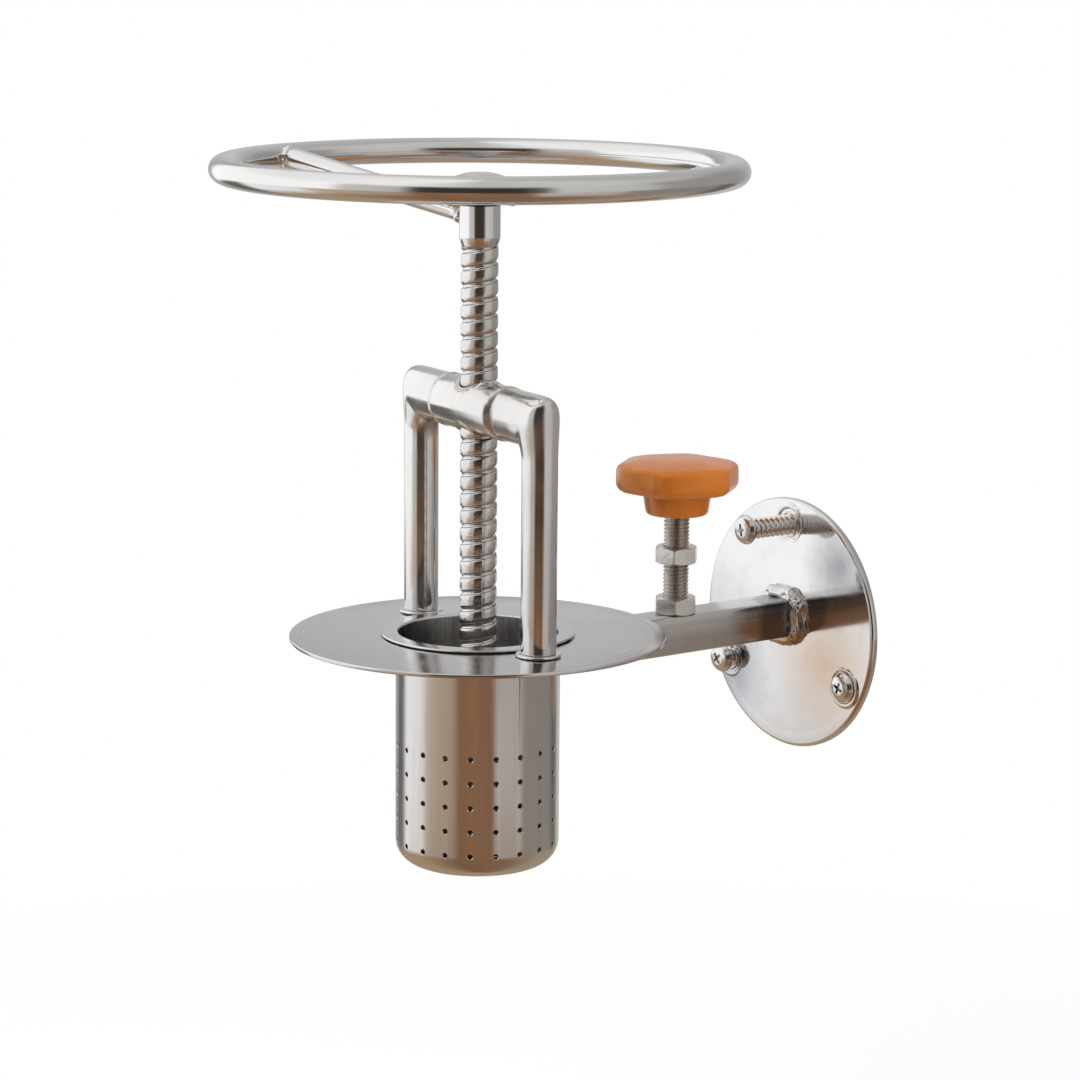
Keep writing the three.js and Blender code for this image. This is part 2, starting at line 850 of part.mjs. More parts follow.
const yoke = group(mesh('nut_sleeve', sleeve(), polished), mesh('thread_bush', bush(), hardware));
for (const [name, side] of [['left', -1], ['right', 1]]) {
  const x = side * postFromAxis;
  const washer = ring(studDia / 2 + fitGap, washerDia / 2, 0, washerThick, midSides);
  yoke.add(
    mesh(`${name}_leg`, leg(side), polished),
    mesh(`${name}_bead`, bead(side), polished),
    placed(mesh(`${name}_washer`, washer, polished), x, 0, 0),
    placed(
      mesh(`${name}_foot_nut`, hexNut(nutAcross, footNutHeight, studDia + 2 * fitGap), hardware),
      x, 0, -plateThick - footNutHeight,
    ),
  );
}
yoke.rotation.z = yokeTurn * degree;

const head = group(
  mesh('support_plate', supportPlate(), satin),
  mesh('arm_bar', armBar(), brushed),
  mesh('bar_weld_left', barWeld(-1), weldTint),
  mesh('bar_weld_right', barWeld(1), weldTint),
  mesh('cup', cup(), polished),
  yoke,
);

const press = group(
  mesh('piston', piston(), satin),
  mesh('thrust_washer', thrustWasher(), bronze),
  mesh('piston_nut', pistonNut(), hardware),
  mesh('spindle', spindle(), polished),
  mesh('hub', hub(), polished),
  mesh('hub_cap', hubCap(), polished),
  mesh('spoke_left', spoke(leftSpokeTurn, leftSpokeHeight, leftSpokeRimHeight), polished),
  mesh('spoke_rear', spoke(rearSpokeTurn, rearSpokeHeight, rearSpokeRimHeight), polished),
  mesh('spoke_front', spoke(frontSpokeTurn, frontSpokeHeight, frontSpokeRimHeight), polished),
  mesh('wheel_rim', rim(), polished),
);

const screwAxis = placed(group(arm, clamp, head, press), 0, -reach, plateRise);

const sevaiMaker = group(flangeGroup, screwAxis);

export default sevaiMaker;
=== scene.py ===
import math
import bpy
from mathutils import Euler, Matrix, Vector


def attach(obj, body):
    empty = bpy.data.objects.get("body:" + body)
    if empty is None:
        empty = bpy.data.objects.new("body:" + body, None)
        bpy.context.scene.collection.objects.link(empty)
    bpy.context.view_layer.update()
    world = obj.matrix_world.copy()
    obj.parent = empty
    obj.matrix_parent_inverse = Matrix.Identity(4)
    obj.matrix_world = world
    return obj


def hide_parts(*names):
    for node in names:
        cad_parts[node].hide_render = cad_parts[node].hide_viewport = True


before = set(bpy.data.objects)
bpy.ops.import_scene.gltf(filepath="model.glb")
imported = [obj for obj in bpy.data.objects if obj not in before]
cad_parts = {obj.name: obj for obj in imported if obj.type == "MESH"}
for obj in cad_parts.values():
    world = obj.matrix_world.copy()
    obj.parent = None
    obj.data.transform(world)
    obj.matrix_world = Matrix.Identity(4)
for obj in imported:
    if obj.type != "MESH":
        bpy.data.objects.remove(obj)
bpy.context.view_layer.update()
scene = bpy.context.scene

# Sizes are written in millimetres and turned into metres where they are used, the studio's apart
mm = 0.001
degree = math.pi / 180
near = 2e-6  # metres: points this close are merged

pressAt = (0, -155.2, 14.1)  # the press stands here: the middle of the support plate's top
plateThickness = 1.5
clampAt = (0, -60.8, pressAt[2])
wallTurn = (90, 0, 0)  # pieces of the flange are made lying down and stood against the wall
sides = (("left", -1), ("right", 1))


# Selecting, modifiers, joining

def objectMode():
    if bpy.context.mode != "OBJECT":
        bpy.ops.object.mode_set(mode="OBJECT")


def unpick():
    objectMode()
    bpy.ops.object.select_all(action="DESELECT")


def pick(obj, *others):
    unpick()
    for other in others:
        other.select_set(True)
    obj.select_set(True)
    bpy.context.view_layer.objects.active = obj
    return obj


def applied(obj, kind, **values):
    pick(obj)
    modifier = obj.modifiers.new(kind.capitalize(), kind)
    for key, value in values.items():
        setattr(modifier, key, value)
    bpy.ops.object.modifier_apply(modifier=modifier.name)
    return obj


def joined(first, *others):
    pick(first, *others)
    bpy.ops.object.join()
    return first


def settled(obj):
    # Its place, turn and scale go into its mesh
    pick(obj)
    bpy.ops.object.transform_apply(location=True, rotation=True, scale=True)
    return obj


def placed(obj, place=(0, 0, 0), turn=(0, 0, 0)):
    obj.rotation_euler = [angle * degree for angle in turn]
    obj.location = Vector(place) * mm
    return settled(obj)


def above(spot, rise):
    return (spot[0], spot[1], spot[2] + rise)


def copied(obj, name):
    pick(obj)
    bpy.ops.object.duplicate()
    twin = bpy.context.object
    twin.name = name
    return twin


def carved(obj, cutter, operation="DIFFERENCE"):
    applied(obj, "BOOLEAN", operation=operation, solver="EXACT", object=cutter)
    bpy.data.objects.remove(cutter)
    return obj


def sealed():
    # In edit mode: doubles merged, then faces turned outwards
    bpy.ops.mesh.select_all(action="SELECT")
    bpy.ops.mesh.remove_doubles(threshold=near)
    bpy.ops.mesh.normals_make_consistent(inside=False)
    objectMode()


def selectParts(obj, kind, test):
    # Ends in edit mode, with only those edges or faces selected that pass the test
    pick(obj)
    bpy.ops.object.mode_set(mode="EDIT")
    bpy.ops.mesh.select_mode(type=kind)
    bpy.ops.mesh.select_all(action="DESELECT")
    bpy.ops.object.mode_set(mode="OBJECT")
    for part in obj.data.edges if kind == "EDGE" else obj.data.polygons:
        part.select = test(part)
    bpy.ops.object.mode_set(mode="EDIT")


def painted(obj, material):
    obj.data.materials.clear()
    obj.data.materials.append(material)
    return obj


def finished(obj, name, node, body, angle=32):
    pick(obj)
    bpy.ops.object.shade_smooth_by_angle(angle=angle * degree)
    obj.name = name
    obj.data.name = name
    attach(obj, body)
    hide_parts(node)
    return obj


# Ways of making a shape

def freshMesh():
    # A tiny plane in edit mode, which its user merges to a point or deletes
    unpick()
    bpy.ops.mesh.primitive_plane_add(size=mm, location=(0, 0, 0))
    bpy.ops.object.mode_set(mode="EDIT")
    bpy.ops.mesh.select_mode(type="VERT")
    return bpy.context.object


def traced(points):
    # One vertex, extruded along the points to a line of edges
    obj = freshMesh()
    bpy.ops.mesh.merge(type="CENTER")
    bpy.ops.transform.translate(value=points[0])
    for here, there in zip(points, points[1:]):
        bpy.ops.mesh.extrude_vertices_move(TRANSFORM_OT_translate={"value": there - here})
    return obj


def rounded(points, steps=5):
    # Each point is (radius, height) or (radius, height, fillet); the fillets become arcs
    result = []
    for index, point in enumerate(points):
        corner = Vector(point[:2])
        if len(point) < 3:
            result.append(corner)
            continue
        back = (Vector(points[index - 1][:2]) - corner).normalized()
        ahead = (Vector(points[(index + 1) % len(points)][:2]) - corner).normalized()
        half = back.angle(ahead) / 2
        fillet = point[2]
        reach = fillet / math.tan(half)
        centre = corner + (back + ahead).normalized() * (fillet / math.sin(half))
        start = corner + back * reach - centre
        end = corner + ahead * reach - centre
        sweep = start.angle(end)
        for step in range(steps + 1):
            share = step / steps
            side = start * math.sin((1 - share) * sweep) + end * math.sin(share * sweep)
            result.append(centre + side / math.sin(sweep))
    return [(point.x, point.y) for point in result]


def spun(profile, steps=96, ring=False):
    points = [Vector((radius, 0, height)) * mm for radius, height in profile]
    if ring:
        points.append(points[0])
    obj = traced(points)
    bpy.ops.mesh.select_all(action="SELECT")
    bpy.ops.mesh.spin(steps=steps, angle=2 * math.pi, center=(0, 0, 0), axis=(0, 0, 1))
    sealed()
    return obj


def plug(radius, low, high, steps=48):
    return spun([(0, low), (radius, low), (radius, high), (0, high)], steps)


def threaded(profile, pitch, low, high, steps=48):
    # One pitch of the profile, screwed upwards past both ends and then cut to length
    start = low - 1.5 * pitch + 0.013  # so that no corner lies on a cut
    outline = list(profile) + [(profile[0][0], profile[0][1] + pitch)]
    obj = traced([Vector((radius, 0, start + rise)) * mm for radius, rise in outline])
    objectMode()
    turns = math.ceil((high - low) / pitch) + 3
    applied(obj, "SCREW", axis="Z", angle=2 * math.pi, screw_offset=pitch * mm,
            iterations=turns, steps=steps, render_steps=steps)
    bpy.ops.object.mode_set(mode="EDIT")
    for height, inner in ((low, True), (high, False)):
        bpy.ops.mesh.select_all(action="SELECT")
        bpy.ops.mesh.remove_doubles(threshold=near)
        bpy.ops.mesh.bisect(plane_co=(0, 0, height * mm), plane_no=(0, 0, 1), use_fill=True,
                            clear_inner=inner, clear_outer=not inner, threshold=near / 10)
    sealed()
    return obj


def lofted(stations, corners=16, levels=2):
    # Each station is (place, turn, half sizes): rings bridged in order, closed and subdivided
    obj = freshMesh()
    bpy.ops.mesh.delete(type="VERT")
    swell = 3 / (2 + math.cos(2 * math.pi / corners))  # what the subdivision takes off
    for place, turn, halves in stations:
        rotation = Euler([angle * degree for angle in turn])
        bpy.ops.mesh.primitive_circle_add(vertices=corners, radius=halves[0] * swell * mm,
                                          location=Vector(place) * mm, rotation=rotation)
        bpy.ops.transform.resize(value=(1, halves[1] / halves[0], 1), orient_matrix_type="GLOBAL",
                                 center_override=Vector(place) * mm,
                                 orient_matrix=rotation.to_matrix().transposed())
    bpy.ops.mesh.select_all(action="SELECT")
    bpy.ops.mesh.bridge_edge_loops()
    bpy.ops.mesh.select_all(action="SELECT")
    bpy.ops.mesh.fill_holes(sides=0)
    sealed()
    applied(obj, "SUBSURF", levels=levels, render_levels=levels)
    return obj


def stacked(rings, bevel, segments):
    # A hexagon with rounded corners, extruded and resized from ring to ring
    obj = freshMesh()
    bpy.ops.mesh.delete(type="VERT")
    radius, height = rings[0]
    bpy.ops.mesh.primitive_circle_add(vertices=6, radius=radius * mm, fill_type="NGON",
                                      location=(0, 0, height * mm), rotation=(0, 0, 30 * degree))
    offset = bevel * radius / rings[1][0] * mm
    bpy.ops.mesh.bevel(affect="VERTICES", offset=offset, segments=segments)
    bpy.ops.mesh.select_all(action="SELECT")
    for (radius, height), (nextRadius, nextHeight) in zip(rings, rings[1:]):
        grow = nextRadius / radius
        bpy.ops.mesh.extrude_region_move(
            TRANSFORM_OT_translate={"value": (0, 0, (nextHeight - height) * mm)})
        bpy.ops.transform.resize(value=(grow, grow, 1), center_override=(0, 0, nextHeight * mm))
    sealed()
    return obj


def roughened(obj, size, strength, where=None):
    # Uneven as a weld is: pushed in and out by a cloud pattern, where the weight asks for it
    clouds = bpy.data.textures.new("unevenClouds", "CLOUDS")
    clouds.noise_scale = size * mm
    clouds.noise_depth = 1
    groupName = ""
    if where:
        group = obj.vertex_groups.new(name="uneven")
        for vertex in obj.data.vertices:
            group.add([vertex.index], where(vertex.co / mm), "REPLACE")
        groupName = group.name
    applied(obj, "DISPLACE", texture=clouds, texture_coords="LOCAL", strength=strength * mm,
            mid_level=0.5, vertex_group=groupName)
    if where:
        obj.vertex_groups.clear()
    return obj


def smoothShare(value, low, high):
    share = min(max((value - low) / (high - low), 0), 1)
    return share * share * (3 - 2 * share)


print("tools ready")


# Materials

def addNode(tree, kind, inputs=None, **settings):
    node = tree.nodes.new("ShaderNode" + kind)
    for key, value in settings.items():
        setattr(node, key, value)
    for key, value in (inputs or {}).items():
        if isinstance(value, bpy.types.NodeSocket):
            tree.links.new(value, node.inputs[key])
        else:
            node.inputs[key].default_value = value
    return node


def calculated(tree, operation, *values):
    return addNode(tree, "Math", dict(enumerate(values)), operation=operation).outputs["Value"]


def onVector(tree, operation, *values):
    node = addNode(tree, "VectorMath", dict(enumerate(values)), operation=operation)
    givesNumber = operation in ("LENGTH", "DISTANCE", "DOT_PRODUCT")
    return node.outputs["Value" if givesNumber else "Vector"]


def ranged(tree, value, low, high, toLow, toHigh):
    limits = {"From Min": low, "From Max": high, "To Min": toLow, "To Max": toHigh}
    return addNode(tree, "MapRange", {"Value": value, **limits}).outputs["Result"]


def noiseOn(tree, vector, scale, detail=3, stretch=None):
    if stretch:
        vector = addNode(tree, "Mapping", {"Vector": vector, "Scale": stretch}).outputs["Vector"]
    return addNode(tree, "TexNoise", {"Vector": vector, "Scale": scale, "Detail": detail}).outputs["Fac"]


def mixed(tree, share, first, second):
    node = addNode(tree, "Mix", data_type="RGBA")
    for key, value in (("Factor", share), ("A", first), ("B", second)):
        isColour = key != "Factor"
        socket = next(s for s in node.inputs if s.name == key and (s.type == "RGBA") == isColour)
        if isinstance(value, bpy.types.NodeSocket):
            tree.links.new(value, socket)
        else:
            socket.default_value = value
    return next(s for s in node.outputs if s.type == "RGBA")


def bumped(tree, shader, height, depth):
    bump = addNode(tree, "Bump", {"Height": height, "Strength": 1.0, "Distance": depth * mm})
    tree.links.new(bump.outputs["Normal"], shader.inputs["Normal"])


def newMaterial(name):
    material = bpy.data.materials.new(name)
    material.use_nodes = True
    tree = material.node_tree
    shader = tree.nodes["Principled BSDF"]
    coords = addNode(tree, "TexCoord").outputs["Object"]
    return material, tree, shader, coords


def fromPress(tree, coords):
    moved = onVector(tree, "SUBTRACT", coords, Vector(pressAt) * mm)
    return moved, addNode(tree, "SeparateXYZ", {"Vector": moved}).outputs["Z"]


def roundPress(tree, coords):
    # How far from the press's axis, and coordinates that stay the same all round it
    moved, height = fromPress(tree, coords)
    radius = onVector(tree, "LENGTH", onVector(tree, "MULTIPLY", moved, (1, 1, 0)))
    return radius, addNode(tree, "CombineXYZ", {"X": radius, "Z": height}).outputs["Vector"]


def seamLine(tree, coords, base, deep, turn, width, rising, falling):
    # An upright joint line in a drawn shell, on the side that the turn points to
    moved, height = fromPress(tree, coords)
    sine, cosine = math.sin(turn * degree), math.cos(turn * degree)
    side = calculated(tree, "ABSOLUTE", onVector(tree, "DOT_PRODUCT", moved, (-sine, cosine, 0)))
    front = onVector(tree, "DOT_PRODUCT", moved, (cosine, sine, 0))
    share = ranged(tree, side, width * 0.5 * mm, width * mm, 1, 0)
    for value, (start, end) in ((front, (0, 1)), (height, rising), (height, falling)):
        share = calculated(tree, "MULTIPLY", share, ranged(tree, value, start * mm, end * mm, 0, 1))
    return mixed(tree, share, base, deep)


# How all the metals are clouded: noise scales, how uneven a tint's edge is, darker tones
metalLook = dict(cloud=55, drift=14, patches=38, edgeNoise=260, edge=6, dark=(0.84, 0.82, 0.79), deep=0.3)


def metal(name, colour, rough, smudge=0.3, warm=0.25, grain=None, turned=False, grooveShade=None, rings=(),
          seam=None, heatTintsAndPaintedLight=(), dull=0.0):
    # grain is (stretch, depth): lines run where the stretch is small, or round the press if turned
    # heatTintsAndPaintedLight has (centre, full within, gone beyond, tint, amount) for each tinted patch:
    # heat tint at some welds, painted reflections and shade on other pieces
    material, tree, shader, coords = newMaterial(name)
    cloud = noiseOn(tree, coords, metalLook["cloud"], 4)
    drift = noiseOn(tree, coords, metalLook["drift"], 2)
    dark = [channel * tone for channel, tone in zip(colour, metalLook["dark"])] + [1]
    deep = [channel * metalLook["deep"] for channel in colour] + [1]
    base = mixed(tree, ranged(tree, drift, 0.35, 0.65, 0, warm), list(colour) + [1], dark)
    roughness = ranged(tree, cloud, 0.3, 0.7, rough * (1 - smudge), rough * (1 + smudge))
    if turned or grooveShade or rings:
        fromAxis, lathed = roundPress(tree, coords)
    if grain:
        stretch, depth = grain
        lines = noiseOn(tree, lathed if turned else coords, 1, 4, stretch)
        roughness = calculated(tree, "MULTIPLY", roughness, ranged(tree, lines, 0.3, 0.7, 0.75, 1.25))
        base = mixed(tree, ranged(tree, lines, 0.5, 0.75, 0, 0.3), base, dark)
        bumped(tree, shader, lines, depth)
    if grooveShade:
        # Painted shade along the lips of a thread's groove, at one distance from the axis
        radius, width, amount = grooveShade
        off = calculated(tree, "ABSOLUTE", calculated(tree, "SUBTRACT", fromAxis, radius * mm))
        base = mixed(tree, ranged(tree, off, width * 0.6 * mm, width * mm, amount, 0), base, deep)
    for radius, width, amount in rings:
        onRing = calculated(tree, "COMPARE", fromAxis, radius * mm, width * mm)
        patchy = ranged(tree, noiseOn(tree, coords, metalLook["patches"], 2), 0.42, 0.58, 0, amount)
        base = mixed(tree, calculated(tree, "MULTIPLY", onRing, patchy), base, deep)
    if seam:
        base = seamLine(tree, coords, base, deep, *seam)
    # Tinted patches: heat tint at some welds, painted reflections and shade on other pieces
    for centre, full, gone, tint, amount in heatTintsAndPaintedLight:
        away = onVector(tree, "DISTANCE", coords, Vector(centre) * mm)
        edge = noiseOn(tree, coords, metalLook["edgeNoise"], 2)
        away = calculated(tree, "MULTIPLY_ADD", edge, metalLook["edge"] * mm, away)
        share = ranged(tree, away, full * mm, gone * mm, amount, 0)
        base = mixed(tree, share, base, list(tint) + [1])
        roughness = calculated(tree, "MULTIPLY_ADD", share, dull, roughness)
    tree.links.new(base, shader.inputs["Base Color"])
    tree.links.new(roughness, shader.inputs["Roughness"])
    shader.inputs["Metallic"].default_value = 1
    return material


polished = (0.76, 0.757, 0.752)
gold = (0.62, 0.43, 0.2)
brown = (0.3, 0.2, 0.13)
# A warm tone painted on the yoke's underside as a reflection
tan = (0.56, 0.45, 0.35)
wheelSteel = metal("wheelSteel", polished, 0.13, heatTintsAndPaintedLight=[
    ((-7.5, -157.8, 171.5), 3, 7, gold, 0.75), ((-88.3, -185.6, 187.6), 2.5, 6, brown, 0.5)])
capSteel = metal("capSteel", polished, 0.12, grain=((1500, 1, 500), 0.004), turned=True)
# The dark band along the lips of its thread is painted shade
screwSteel = metal("screwSteel", (0.72, 0.715, 0.71), 0.17, smudge=0.5, warm=0.6,
                   grain=((800, 800, 800), 0.06), grooveShade=(6.5, 0.2, 0.85))
# Of its tinted patches, the three low on the bar and in the left leg's inner corner are painted warm
# reflections; the last is the collar weld's own grey-brown
yokeSteel = metal("yokeSteel", polished, 0.14, smudge=0.45, warm=0.5, grain=((170, 170, 60), 0.028),
                  dull=0.3, heatTintsAndPaintedLight=[((-37, -150.5, 88.5), 6, 11, (0.42, 0.31, 0.22), 0.75),
                                  ((-13, -156, 87), 6, 12, tan, 0.7), ((14, -160, 87), 5, 11, tan, 0.6),
                                  ((2, -163, 107.5), 2.5, 6, (0.5, 0.42, 0.35), 0.6)])
plateSteel = metal("plateSteel", (0.68, 0.68, 0.685), 0.17, grain=((1400, 1, 300), 0.006), turned=True,
                   rings=[(66.4, 0.22, 0.5), (63.2, 0.18, 0.4), (58.6, 0.15, 0.3)])
cupSteel = metal("cupSteel", (0.73, 0.725, 0.72), 0.17, warm=0.3, grain=((700, 700, 14), 0.006),
                 seam=(-5.6, 0.3, (-40, -12), (-0.3, -1)))
# Its tinted patches are painted reflections and shade: tan at the lower right, dark grey at the upper
# right, blue-grey shade at the lower left
discSteel = metal("discSteel", (0.75, 0.75, 0.75), 0.1, warm=0.2, grain=((120, 900, 120), 0.0015), heatTintsAndPaintedLight=[
    ((24, -4, -13), 2, 36, (0.6, 0.43, 0.3), 0.9), ((30, -4, 27), 5, 24, (0.28, 0.28, 0.3), 0.9),
    ((-32, -4, -24), 6, 26, (0.4, 0.42, 0.46), 0.7)])
# The dark blue-grey patch on the arm's side by the wall is a painted reflection of the disc
armSteel = metal("armSteel", (0.66, 0.64, 0.625), 0.22, warm=0.5, grain=((700, 12, 700), 0.008), heatTintsAndPaintedLight=[
    ((7.5, -5, 3.4), 20.5, 23.5, (0.2, 0.225, 0.26), 0.8)])
boltSteel = metal("boltSteel", (0.56, 0.53, 0.5), 0.27, 0.45, 0.5, grain=((260, 260, 260), 0.03))
pistonSteel = metal("pistonSteel", (0.66, 0.65, 0.64), 0.28, grain=((900, 1, 400), 0.01), turned=True)
weldSteel = metal("weldSteel", (0.55, 0.44, 0.31), 0.26, 0.5, 0.9, grain=((420, 420, 420), 0.05))
# The gold-brown patch low on the bead is a painted warm reflection
beadSteel = metal("beadSteel", (0.7, 0.69, 0.68), 0.14, 0.5, 0.6, grain=((300, 300, 300), 0.03), heatTintsAndPaintedLight=[
    ((5, -7, -6.5), 6, 11, (0.42, 0.24, 0.09), 0.85)])
brightSteel = metal("brightSteel", (0.74, 0.735, 0.73), 0.2, grain=((260, 260, 260), 0.015))
nutSteel = metal("nutSteel", (0.78, 0.77, 0.76), 0.25, 0.5, 0.5, grain=((300, 300, 300), 0.05))
ringSteel = metal("ringSteel", (0.74, 0.735, 0.725), 0.3, 0.4, 0.5, grain=((260, 260, 260), 0.02))
padBronze = metal("padBronze", (0.62, 0.44, 0.22), 0.34, grain=((300, 300, 300), 0.02))

knobLook = dict(
    light=(0.57, 0.155, 0.012, 1), dark=(0.51, 0.13, 0.01, 1), rough=(0.18, 0.26), cloud=60, fine=900,
    fineDepth=0.006, shader={
        "Subsurface Weight": 0.06, "Subsurface Radius": (0.004, 0.0015, 0.0006),
        "Specular Tint": (1, 0.8, 0.42, 1), "Specular IOR Level": 0.85,
        "Coat Weight": 0.2, "Coat Roughness": 0.06})


def knobPlastic():
    material, tree, shader, coords = newMaterial("orangeKnob")
    cloud = noiseOn(tree, coords, knobLook["cloud"], 3)
    share = ranged(tree, cloud, 0.35, 0.65, 0, 1)
    tree.links.new(mixed(tree, share, knobLook["light"], knobLook["dark"]), shader.inputs["Base Color"])
    tree.links.new(ranged(tree, cloud, 0.3, 0.7, *knobLook["rough"]), shader.inputs["Roughness"])
    bumped(tree, shader, noiseOn(tree, coords, knobLook["fine"], 2), knobLook["fineDepth"])
    for key, value in knobLook["shader"].items():
        shader.inputs[key].default_value = value
    return material


orangeKnob = knobPlastic()
print("materials ready")


# Handwheel

# The welds give how far from the hub or the rim, and how thick the spoke is there
wheel = dict(radius=93.4, tubeWidth=10.3, tubeHeight=9.8, rise=172.6, sides=36, steps=200,
             spokeRadius=4.1, spokeTip=4.0, belowCrest=0.04, weldCloud=(1.3, 1.5), weldReach=(0.4, 2.6),
             plainFrom=(3.2, 6), plainTo=(5, 3),
             hubWeld=[(-2, 4.4), (0.2, 4.95), (1, 4.9), (2, 4.35)],
             rimWeld=[(-1.8, 4.45), (-0.7, 4.95), (0.6, 4.95)])
# turn, height at the hub, height at the rim, where it meets the hub, how far it runs on under the rim
spokes = {
    "spoke_left": (199, 155.5, 173.5, 7.2, 2.5),
    "spoke_rear": (79, 163.2, 165.6, 12.0, 5.0),
    "spoke_front": (319, 165, 171.6, 12.0, 2.5),
}


def makeRim():
    section = []
    for step in range(wheel["sides"]):
        angle = 2 * math.pi * step / wheel["sides"]
        section.append((wheel["radius"] + wheel["tubeWidth"] / 2 * math.cos(angle),
                        wheel["rise"] + wheel["tubeHeight"] / 2 * math.sin(angle)))
    rim = painted(placed(spun(section, wheel["steps"], ring=True), pressAt), wheelSteel)
    finished(rim, "rimRing", "wheel_rim", "handwheel", 60)


def makeSpoke(node, turn, hubRise, rimRise, start, beyond):
    reach = math.hypot(wheel["radius"], rimRise - hubRise)
    end = reach - wheel["tubeWidth"] / 2
    sizes = [(start + along, size) for along, size in wheel["hubWeld"]]
    plain = [start + along for along in wheel["plainFrom"]] + [reach / 2]
    plain += [end - along for along in wheel["plainTo"]]
    sizes += [(along, wheel["spokeRadius"]) for along in plain]
    sizes += [(end + along, size) for along, size in wheel["rimWeld"]]
    sizes.append((end + beyond, wheel["spokeTip"]))
    spoke = lofted([((along, 0, 0), (0, 90, 0), (size, size)) for along, size in sizes])
    roughened(spoke, *wheel["weldCloud"],
              lambda co: 1 - smoothShare(min(co.x - start, end - co.x), *wheel["weldReach"]))
    pitch = -math.atan2(rimRise - hubRise, wheel["radius"]) / degree
    placed(spoke, turn=(0, pitch, 0))
    placed(spoke, above(pressAt, hubRise), (0, 0, turn))
    crest = pressAt[2] + wheel["rise"] + wheel["tubeHeight"] / 2 - wheel["belowCrest"]
    for vertex in spoke.data.vertices:
        vertex.co.z = min(vertex.co.z, crest * mm)  # no weld stands above the rim
    finished(painted(spoke, wheelSteel), node + "Rod", node, "handwheel", 60)


hubShape = dict(
    sleeve=[(5.3, 144.6), (6.6, 144.6, 0.25), (7.6, 147.5, 6), (7.6, 159.55), (5.3, 159.55)],
    cap=[(0, 159.62), (7.5, 159.62), (12.3, 161.7, 0.7), (12.3, 168.9, 3.4), (5.5, 171.2, 8), (0, 171.5)],
)


def makeHub():
    hub = placed(spun(rounded(hubShape["sleeve"]), ring=True), pressAt)
    finished(painted(hub, capSteel), "hubSleeve", "hub", "handwheel")
    cap = placed(spun(rounded(hubShape["cap"], 8), 120), pressAt)
    finished(painted(cap, capSteel), "hubDome", "hub_cap", "handwheel", 50)


makeRim()
for node, values in spokes.items():
    makeSpoke(node, *values)
makeHub()
print("handwheel made")


# Press screw, piston

screwShape = dict(
    pitch=6.35, low=-22.9, high=144.5, steps=60,
    land=[(6.45, 0), (6.66, 0.2), (6.8, 0.5), (6.88, 1.0), (6.9, 1.7), (6.9, 2.45), (6.9, 3.2),
          (6.88, 3.9), (6.8, 4.4), (6.66, 4.7), (6.45, 4.9), (6.25, 5.05), (6.16, 5.3), (6.15, 5.62),
          (6.16, 5.95), (6.25, 6.2)],
    pin=[(0, -36.1), (4.5, -36.1), (5, -35.6), (5, -22), (0, -22)],
    neck=[(0, 144), (5, 144), (5, 156.3, 0.4), (0, 156.3)],
)


def makeScrew():
    screw = threaded(*(screwShape[key] for key in ("land", "pitch", "low", "high", "steps")))
    pin = spun(rounded(screwShape["pin"]), 48)
    neck = spun(rounded(screwShape["neck"]), 48)
    placed(joined(screw, pin, neck), pressAt)
    finished(painted(screw, screwSteel), "pressScrew", "spindle", "handwheel", 50)


pistonShape = dict(
    piston=[(5.3, -31), (8.8, -31, 0.3), (8.8, -36.5, 0.3), (29.2, -36.5, 1), (29.2, -28.5, 1),
            (11, -28.5, 0.8), (11, -24.5, 0.6), (5.3, -24.5)],
    nut=[(5.3, -35.65), (8.5, -35.65, 0.5), (8.5, -31.05, 0.5), (5.3, -31.05)],
    washer=[(5.3, -24.5), (10, -24.5, 0.35), (10, -23, 0.35), (5.3, -23)],
)


def makePiston():
    for name, node, profile, material, body, slotName in (
            ("pistonDisc", "piston", "piston", pistonSteel, "piston_carrier", "satin_steel"),
            ("pistonEndNut", "piston_nut", "nut", boltSteel, "handwheel", "fastener_steel"),
            ("thrustRing", "thrust_washer", "washer", padBronze, "piston_carrier", "bronze")):
        piece = placed(spun(rounded(pistonShape[profile], 4), ring=True), pressAt)
        finished(painted(piece, material), name, node, body)


makeScrew()
makePiston()
print("press screw made")


# Nuts

# sink is the depth of the bore's countersink, past how far a cutter reaches beyond the nut
nutShape = dict(across=15.4, height=6.6, chamfer=1.1, inset=0.4, soften=0.25, sink=0.6, past=1,
                footHeight=4, footBore=10.6, clampBore=10.1)


def hexNut(bore, height):
    across, chamfer, sink, past = (nutShape[key] for key in ("across", "chamfer", "sink", "past"))
    corner = across / 2 / math.cos(30 * degree)
    unpick()
    bpy.ops.mesh.primitive_cylinder_add(vertices=6, radius=corner * mm, depth=height * mm,
                                        location=(0, 0, height / 2 * mm), rotation=(0, 0, 30 * degree))
    nut = settled(bpy.context.object)
    applied(nut, "BEVEL", width=nutShape["soften"] * mm, segments=3, limit_method="ANGLE",
            angle_limit=40 * degree)
    flat, wide = across / 2 - nutShape["inset"], corner + 0.3
    blank = spun([(0, 0), (flat, 0), (wide, chamfer), (wide, height - chamfer), (flat, height),
                  (0, height)])
    carved(nut, blank, "INTERSECT")
    radius, mouth = bore / 2, bore / 2 + sink + past
    hole = spun([(0, -past), (mouth, -past), (radius, sink), (radius, height - sink),
                 (mouth, height + past), (0, height + past)], 48)
    carved(nut, hole)
    return nut


# Yoke

